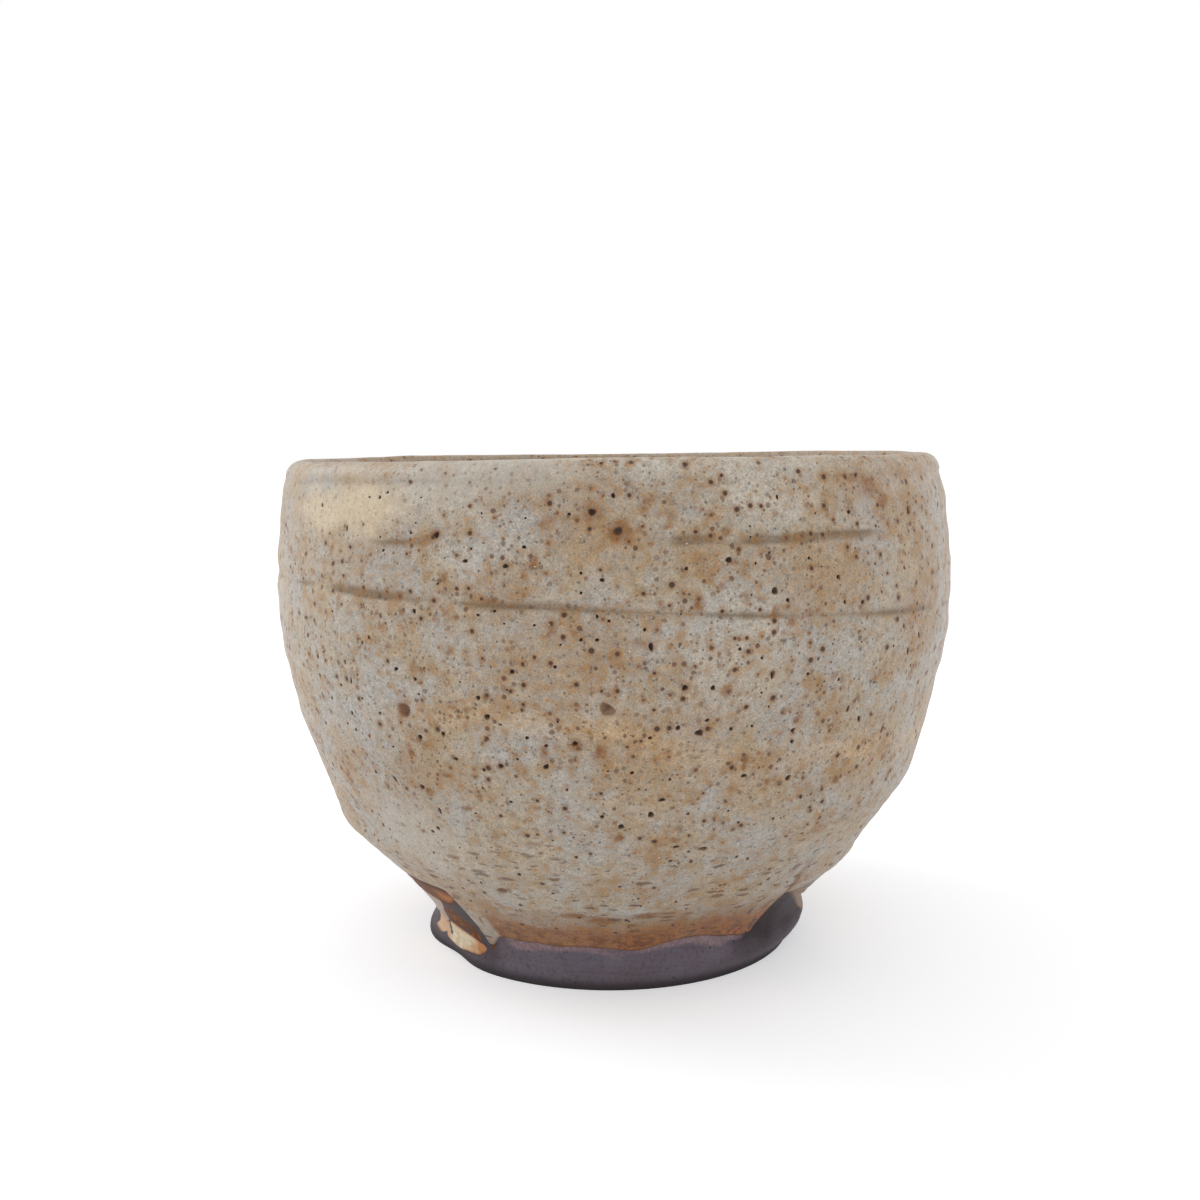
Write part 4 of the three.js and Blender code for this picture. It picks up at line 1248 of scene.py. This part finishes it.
def ash_glaze(name, base_tones, placed):
    """Ash glaze: cool and warm greys clouded together, ochre where it is thin, iron spots of all
    sizes in crowds, pinholes, fine specks and painted glints, tiny white highlights on bubbles.
    Placed marks come from the attributes."""
    material = bpy.data.materials.new(name)
    glaze = shader_of(material)
    attribute = glaze.attribute
    spot = glaze.node("TexCoord", output="Object")
    height = spot.node("SeparateXYZ", {}, {0: spot}, output="Z")
    turned = height.rising(*TURNED_HEIGHTS)
    thrown = 1 - turned
    lower = height.rising(*LOWER_HEIGHTS)
    waver = spot.noise(1 / 1.4).other("Color").moved((-0.5, -0.5, -0.5))
    bent = waver.scaled([0.0014] * 3).moved(spot)
    jittered = waver.scaled([0.0005] * 3).moved(spot)
    dragged = jittered.scaled((0.32, 0.32, 1.15))
    banded = spot.scaled((0.3, 0.3, 1.0))
    cloud = spot.noise(8, 4, 0.6)
    middle = spot.noise(2.2, 3, 0.6)
    fine = spot.noise(0.6, 4, 0.7)
    crumbs = spot.noise(0.2, 2, 0.7)
    iron = spot.noise(5, 3, 0.6) * 0.65 + middle * 0.35
    crowd = iron.rising(0.42, 0.6)
    lively = 1
    if placed:
        lively = 1 - attribute("calm").most(attribute("cream")) * 0.8
        crowd = crowd.most(attribute("groove") * 0.9) * lively

    cool, warm, pale, olive = base_tones
    layers = [(pale, banded.noise(2.4, 3, 0.6).rising(0.5, 0.75) * 0.4)]
    ochre = (spot.noise(16, 2, 0.5) * 0.75 + middle * 0.25).rising(0.46, 0.66) * 0.3
    if placed:
        layers += [(pale, attribute("ash") * (0.3 + 0.6 * cloud))]
        ochre = ochre * (1 - attribute("ash"))
        ochre = ochre.most(attribute("ochre") * (0.3 + 0.65 * middle))
    layers += [(olive, ochre * (0.7 + 1.2 * (fine - 0.5)))]
    if placed:
        groove = (attribute("groove") * (0.5 + 1.1 * middle)).rising(0.05, 0.95)
        edge = attribute("above_edge")
        band = attribute("band")
        ragged = edge - 3.4 * (middle - 0.5) - 1.6 * (fine - 0.5)
        burnt = spot.noise(1.1, 3, 0.65).rising(0.44, 0.58) * ragged.rising(4.2, 1.4) * band
        layers += [
            ((216, 197, 167), attribute("cream") * 0.85),
            ((204, 172, 132), attribute("peach") * 0.65),
            ((108, 80, 42), groove * (0.3 + 1.0 * fine)),
            ((150, 112, 72), ragged.rising(7.5, 4.0) * (0.3 + 0.9 * fine) * band),
            ((158, 98, 48), ragged.rising(4.6, 2.8) * band * (0.8 + 0.4 * fine)),
            ((112, 62, 32), burnt * 0.9),
        ]

    haze = (spot.noise(1.2, 3, 0.7) * 0.5 + iron * 0.5).rising(0.48, 0.6) * lively
    blotch = bent.spots(3.3, 0.95, 0.5, 1.0) * (0.3 + 0.7 * crowd) * thrown
    if placed:
        stained = attribute("stain") * (0.25 + 1.5 * (middle * 0.5 + fine * 0.5))
        blotch = blotch.most(stained.rising(0.15, 0.85))
    smudge = jittered.spots(2.3, 0.9, 0.5, 0.75) * (0.2 + 0.8 * crowd) * thrown
    smudge = smudge * (1 + 0.3 * lower)
    dots = bent.spots(1.2, 0.62, 0.65, 1.0) * (0.25 + 0.75 * crowd) * thrown
    freckle = spot.spots(1.0, 0.38, 0.75, 0.35) * (0.3 + 0.7 * crowd) * thrown
    dashes = dragged.spots(1.0, 0.42, 0.7, 0.5).most(dragged.spots(0.7, 0.25, 0.7, 0.6) * 0.8)
    dashes = dashes * turned * (0.3 + 0.7 * lively)
    specks = spot.spots(0.7, 0.24, 0.8, 0.6) * (0.4 + 0.6 * lively)
    ring = spot.spots(1.4, 0.95, 0.5, 0.9) * lively
    hollows = spot.spots(1.4, 0.47, 0.42, 1.0) * (0.2 + 0.8 * lively)
    holes = hollows.rising(0.28, 0.62)
    layers += [
        ((155, 109, 50), haze * (0.2 + 0.9 * fine) * 0.85),
        ((134, 85, 38), blotch * (0.2 + 1.8 * (fine - 0.2)) * (0.8 + 0.3 * lower)),
        ((130, 83, 36), smudge * (0.3 + 1.2 * (fine - 0.1))),
        ((124, 76, 30), dots * (0.4 + 1.2 * (fine - 0.1))),
        ((96, 60, 34), freckle * 0.9),
        ((110, 78, 50), dashes * 0.85),
        ((108, 88, 66), specks * 0.8),
        ((146, 98, 42), ring * 0.7 * thrown),
        ((112, 74, 42), hollows.rising(0.02, 0.3) * 0.85),
        ((50, 36, 28), holes * 0.92),
        # painted glints: tiny white highlights on bubbles in the glaze
        ((232, 226, 216), spot.spots(1.2, 0.16, 0.5, 0.7) * 0.6),
    ]
    tone = (cloud * 0.65 + middle * 0.35).rising(0.36, 0.64).between(cool, warm).coats(layers)
    grain = (fine * 0.5 + crumbs * 0.5 - 0.5) * (1.3 + 1.6 * lively) + 1.0
    grey = glaze.node("CombineColor", {}, {0: grain, 1: grain, 2: grain})
    tone = tone.blend(grey, 1.0, "MULTIPLY")

    rough = 0.36 + 0.22 * fine + 0.12 * blotch
    relief = fine * 0.6 + middle * 0.8 + crumbs * 0.3 - holes * 1.4 - freckle * 0.3
    if placed:
        ember = attribute("ember").rising(0.05, 0.6)
        fire = spot.noise(0.8, 2, 0.6)
        pit = attribute("pit")
        core = pit + (fire - 0.5) * 2.2 * (1 - pit)
        tone = tone.coats([
            ((96, 56, 34), edge.rising(0.5, 0.1) * (0.15 + 0.7 * band)),
            ((84, 48, 32), ember * fire.rising(0.48, 0.58) * 0.85),
            ((184, 96, 42), ember * fire.rising(0.5, 0.4) * 0.85),
            ((122, 84, 56), pit.rising(0.0, 0.22) * (0.45 + 0.7 * fine)),
            ((56, 42, 40), core.rising(0.25, 0.75) * pit.rising(0.1, 0.3) * 0.95),
        ])
        rough = rough + 0.25 * pit
    finish_surface(tone, rough, relief, 0.8, 0.09)
    return material


OUTER_TONES = [(180, 174, 165), (182, 162, 134), (200, 191, 177), (164, 124, 76)]
outer_material = ash_glaze("outer_ash_glaze", OUTER_TONES, True)
add_piece("outer_glaze", glaze_points, faces, outer_material, glaze_attributes)


# Inner glaze: the same ash glaze poured in and out again, from the crest of the lip down to the
# floor. Its tones are darker and warmer than outside: painted shade for the inside, with a warmer
# tint of iron.
INNER_SHADED_TONES = [(168, 156, 140), (174, 152, 126), (186, 172, 152), (152, 120, 86)]

inner_rows = rows_of(
    GLAZE_COLUMNS,
    (inside_ring, np.linspace(0.01, 1, 14), GLAZE_THICKNESS),
    (lip_ring, (0.5, 1.0), -LIP_INNER_ROUNDING, GLAZE_THICKNESS),
    (lip_ring, np.linspace(1, 0, 11)[:-1], -LIP_INNER_ROUNDING, 0),
    (inside_ring, np.linspace(1, 0.01, 84), 0),
)
points, faces = capped(inner_rows)
inner_material = ash_glaze("inner_ash_glaze", INNER_SHADED_TONES, False)
add_piece("inner_glaze", points, faces, inner_material, {})


# Patch of glaze on the foot: a drop that ran down and stayed on the bare clay, cream in its
# middle with an orange rim. It is a thin lens that lies on the foot's outside.
PATCH_WIDTH = 11.0
PATCH_HEIGHT = 3.2
PATCH_ANGLE = 216
PATCH_MIDDLE_HEIGHT = 2.7
PATCH_THICKNESS = 0.34
PATCH_BACK_SHARE = -0.3
PATCH_AROUND = 120
PATCH_RINGS = np.linspace(0.02, 1, 40)

# Lobes of the patch's outline: how many, how big, turned by how much
PATCH_LOBES = [(2, 0.06, 2.4), (3, 0.06, 2), (7, 0.03, 0)]
PATCH_SLIT_ACROSS = -2.6
PATCH_SLIT_LEAN = 0.15
PATCH_SLIT_HALF_WIDTH = 0.4
PATCH_SLIT_LOWEST = 2.2


def patch_points(share, turn, raised):
    """Points of the patch at a share of its reach and a turn round its middle. Its outline is
    an oval with three kinds of lobes, and its thickness falls to nothing at its rim."""
    lobes = 1 + sum(size * np.sin(number * turn + start) for number, size, start in PATCH_LOBES)
    across = PATCH_WIDTH / 2 * share * lobes * np.cos(turn)
    height = PATCH_MIDDLE_HEIGHT + PATCH_HEIGHT / 2 * share * lobes * np.sin(turn)
    angle = np.radians(PATCH_ANGLE) + across / FOOT_RADIUS
    dome = PATCH_THICKNESS * np.sqrt(np.clip(1 - share**2, 0, 1)) * raised
    radius = foot_radius(np.clip(height / FOOT_HEIGHT, 0, 1), angle) - GLAZE_EDGE_SINK + dome
    return point_at(radius, height, angle)


patch_turn = np.linspace(0, 2 * np.pi, PATCH_AROUND, endpoint=False)[None, :]
patch_top = patch_points(PATCH_RINGS[:, None], patch_turn, 1.0)
patch_back = patch_points(PATCH_RINGS[:-1, None], patch_turn, PATCH_BACK_SHARE)
points, faces = capped(np.concatenate([patch_back, patch_top[::-1]]))
rim = np.repeat(np.concatenate([PATCH_RINGS[:-1], PATCH_RINGS[::-1]]), PATCH_AROUND)
patch_across = turn_between(PATCH_ANGLE, np.degrees(np.arctan2(points[:, 1], points[:, 0])))
patch_across = np.radians(patch_across) * FOOT_RADIUS
slit_lean = PATCH_SLIT_LEAN * (points[:, 2] - PATCH_MIDDLE_HEIGHT)
slit = bell((patch_across - PATCH_SLIT_ACROSS + slit_lean) / PATCH_SLIT_HALF_WIDTH)
patch_attributes = {
    "rim": np.concatenate([rim, [0, 0]]),
    "along": patch_across / (PATCH_WIDTH / 2),
    "slit": slit * smooth((points[:, 2] - PATCH_SLIT_LOWEST) / 0.4),
}

patch_material = bpy.data.materials.new("cream_patch")
patch = shader_of(patch_material)
cloud = patch.node("TexCoord", output="Object").noise(1.4, 3, 0.6)
to_rim = patch.attribute("rim")
along = patch.attribute("along")
colour = cloud.rising(0.4, 0.62).between((230, 216, 186), (214, 188, 150)).coats([
    ((206, 162, 120), (along + 0.4 * cloud).rising(-0.1, -0.45) * 0.85),
    ((200, 122, 54), (along + 0.5 * cloud).rising(0.72, 1.15) * 0.95),
    ((196, 132, 76), (to_rim + 0.4 * cloud).rising(0.9, 1.2) * 0.9),
    ((150, 84, 42), (to_rim + 0.3 * cloud).rising(1.04, 1.16) * 0.9),
    ((86, 56, 42), (to_rim + 0.15 * cloud).rising(1.02, 1.08)),
    ((54, 40, 32), patch.attribute("slit").rising(0.12, 0.42)),
])
finish_surface(colour, 0.3 + 0.2 * cloud, cloud, 0.6, 0.08)
add_piece("foot_glaze_patch", points, faces, patch_material, patch_attributes)
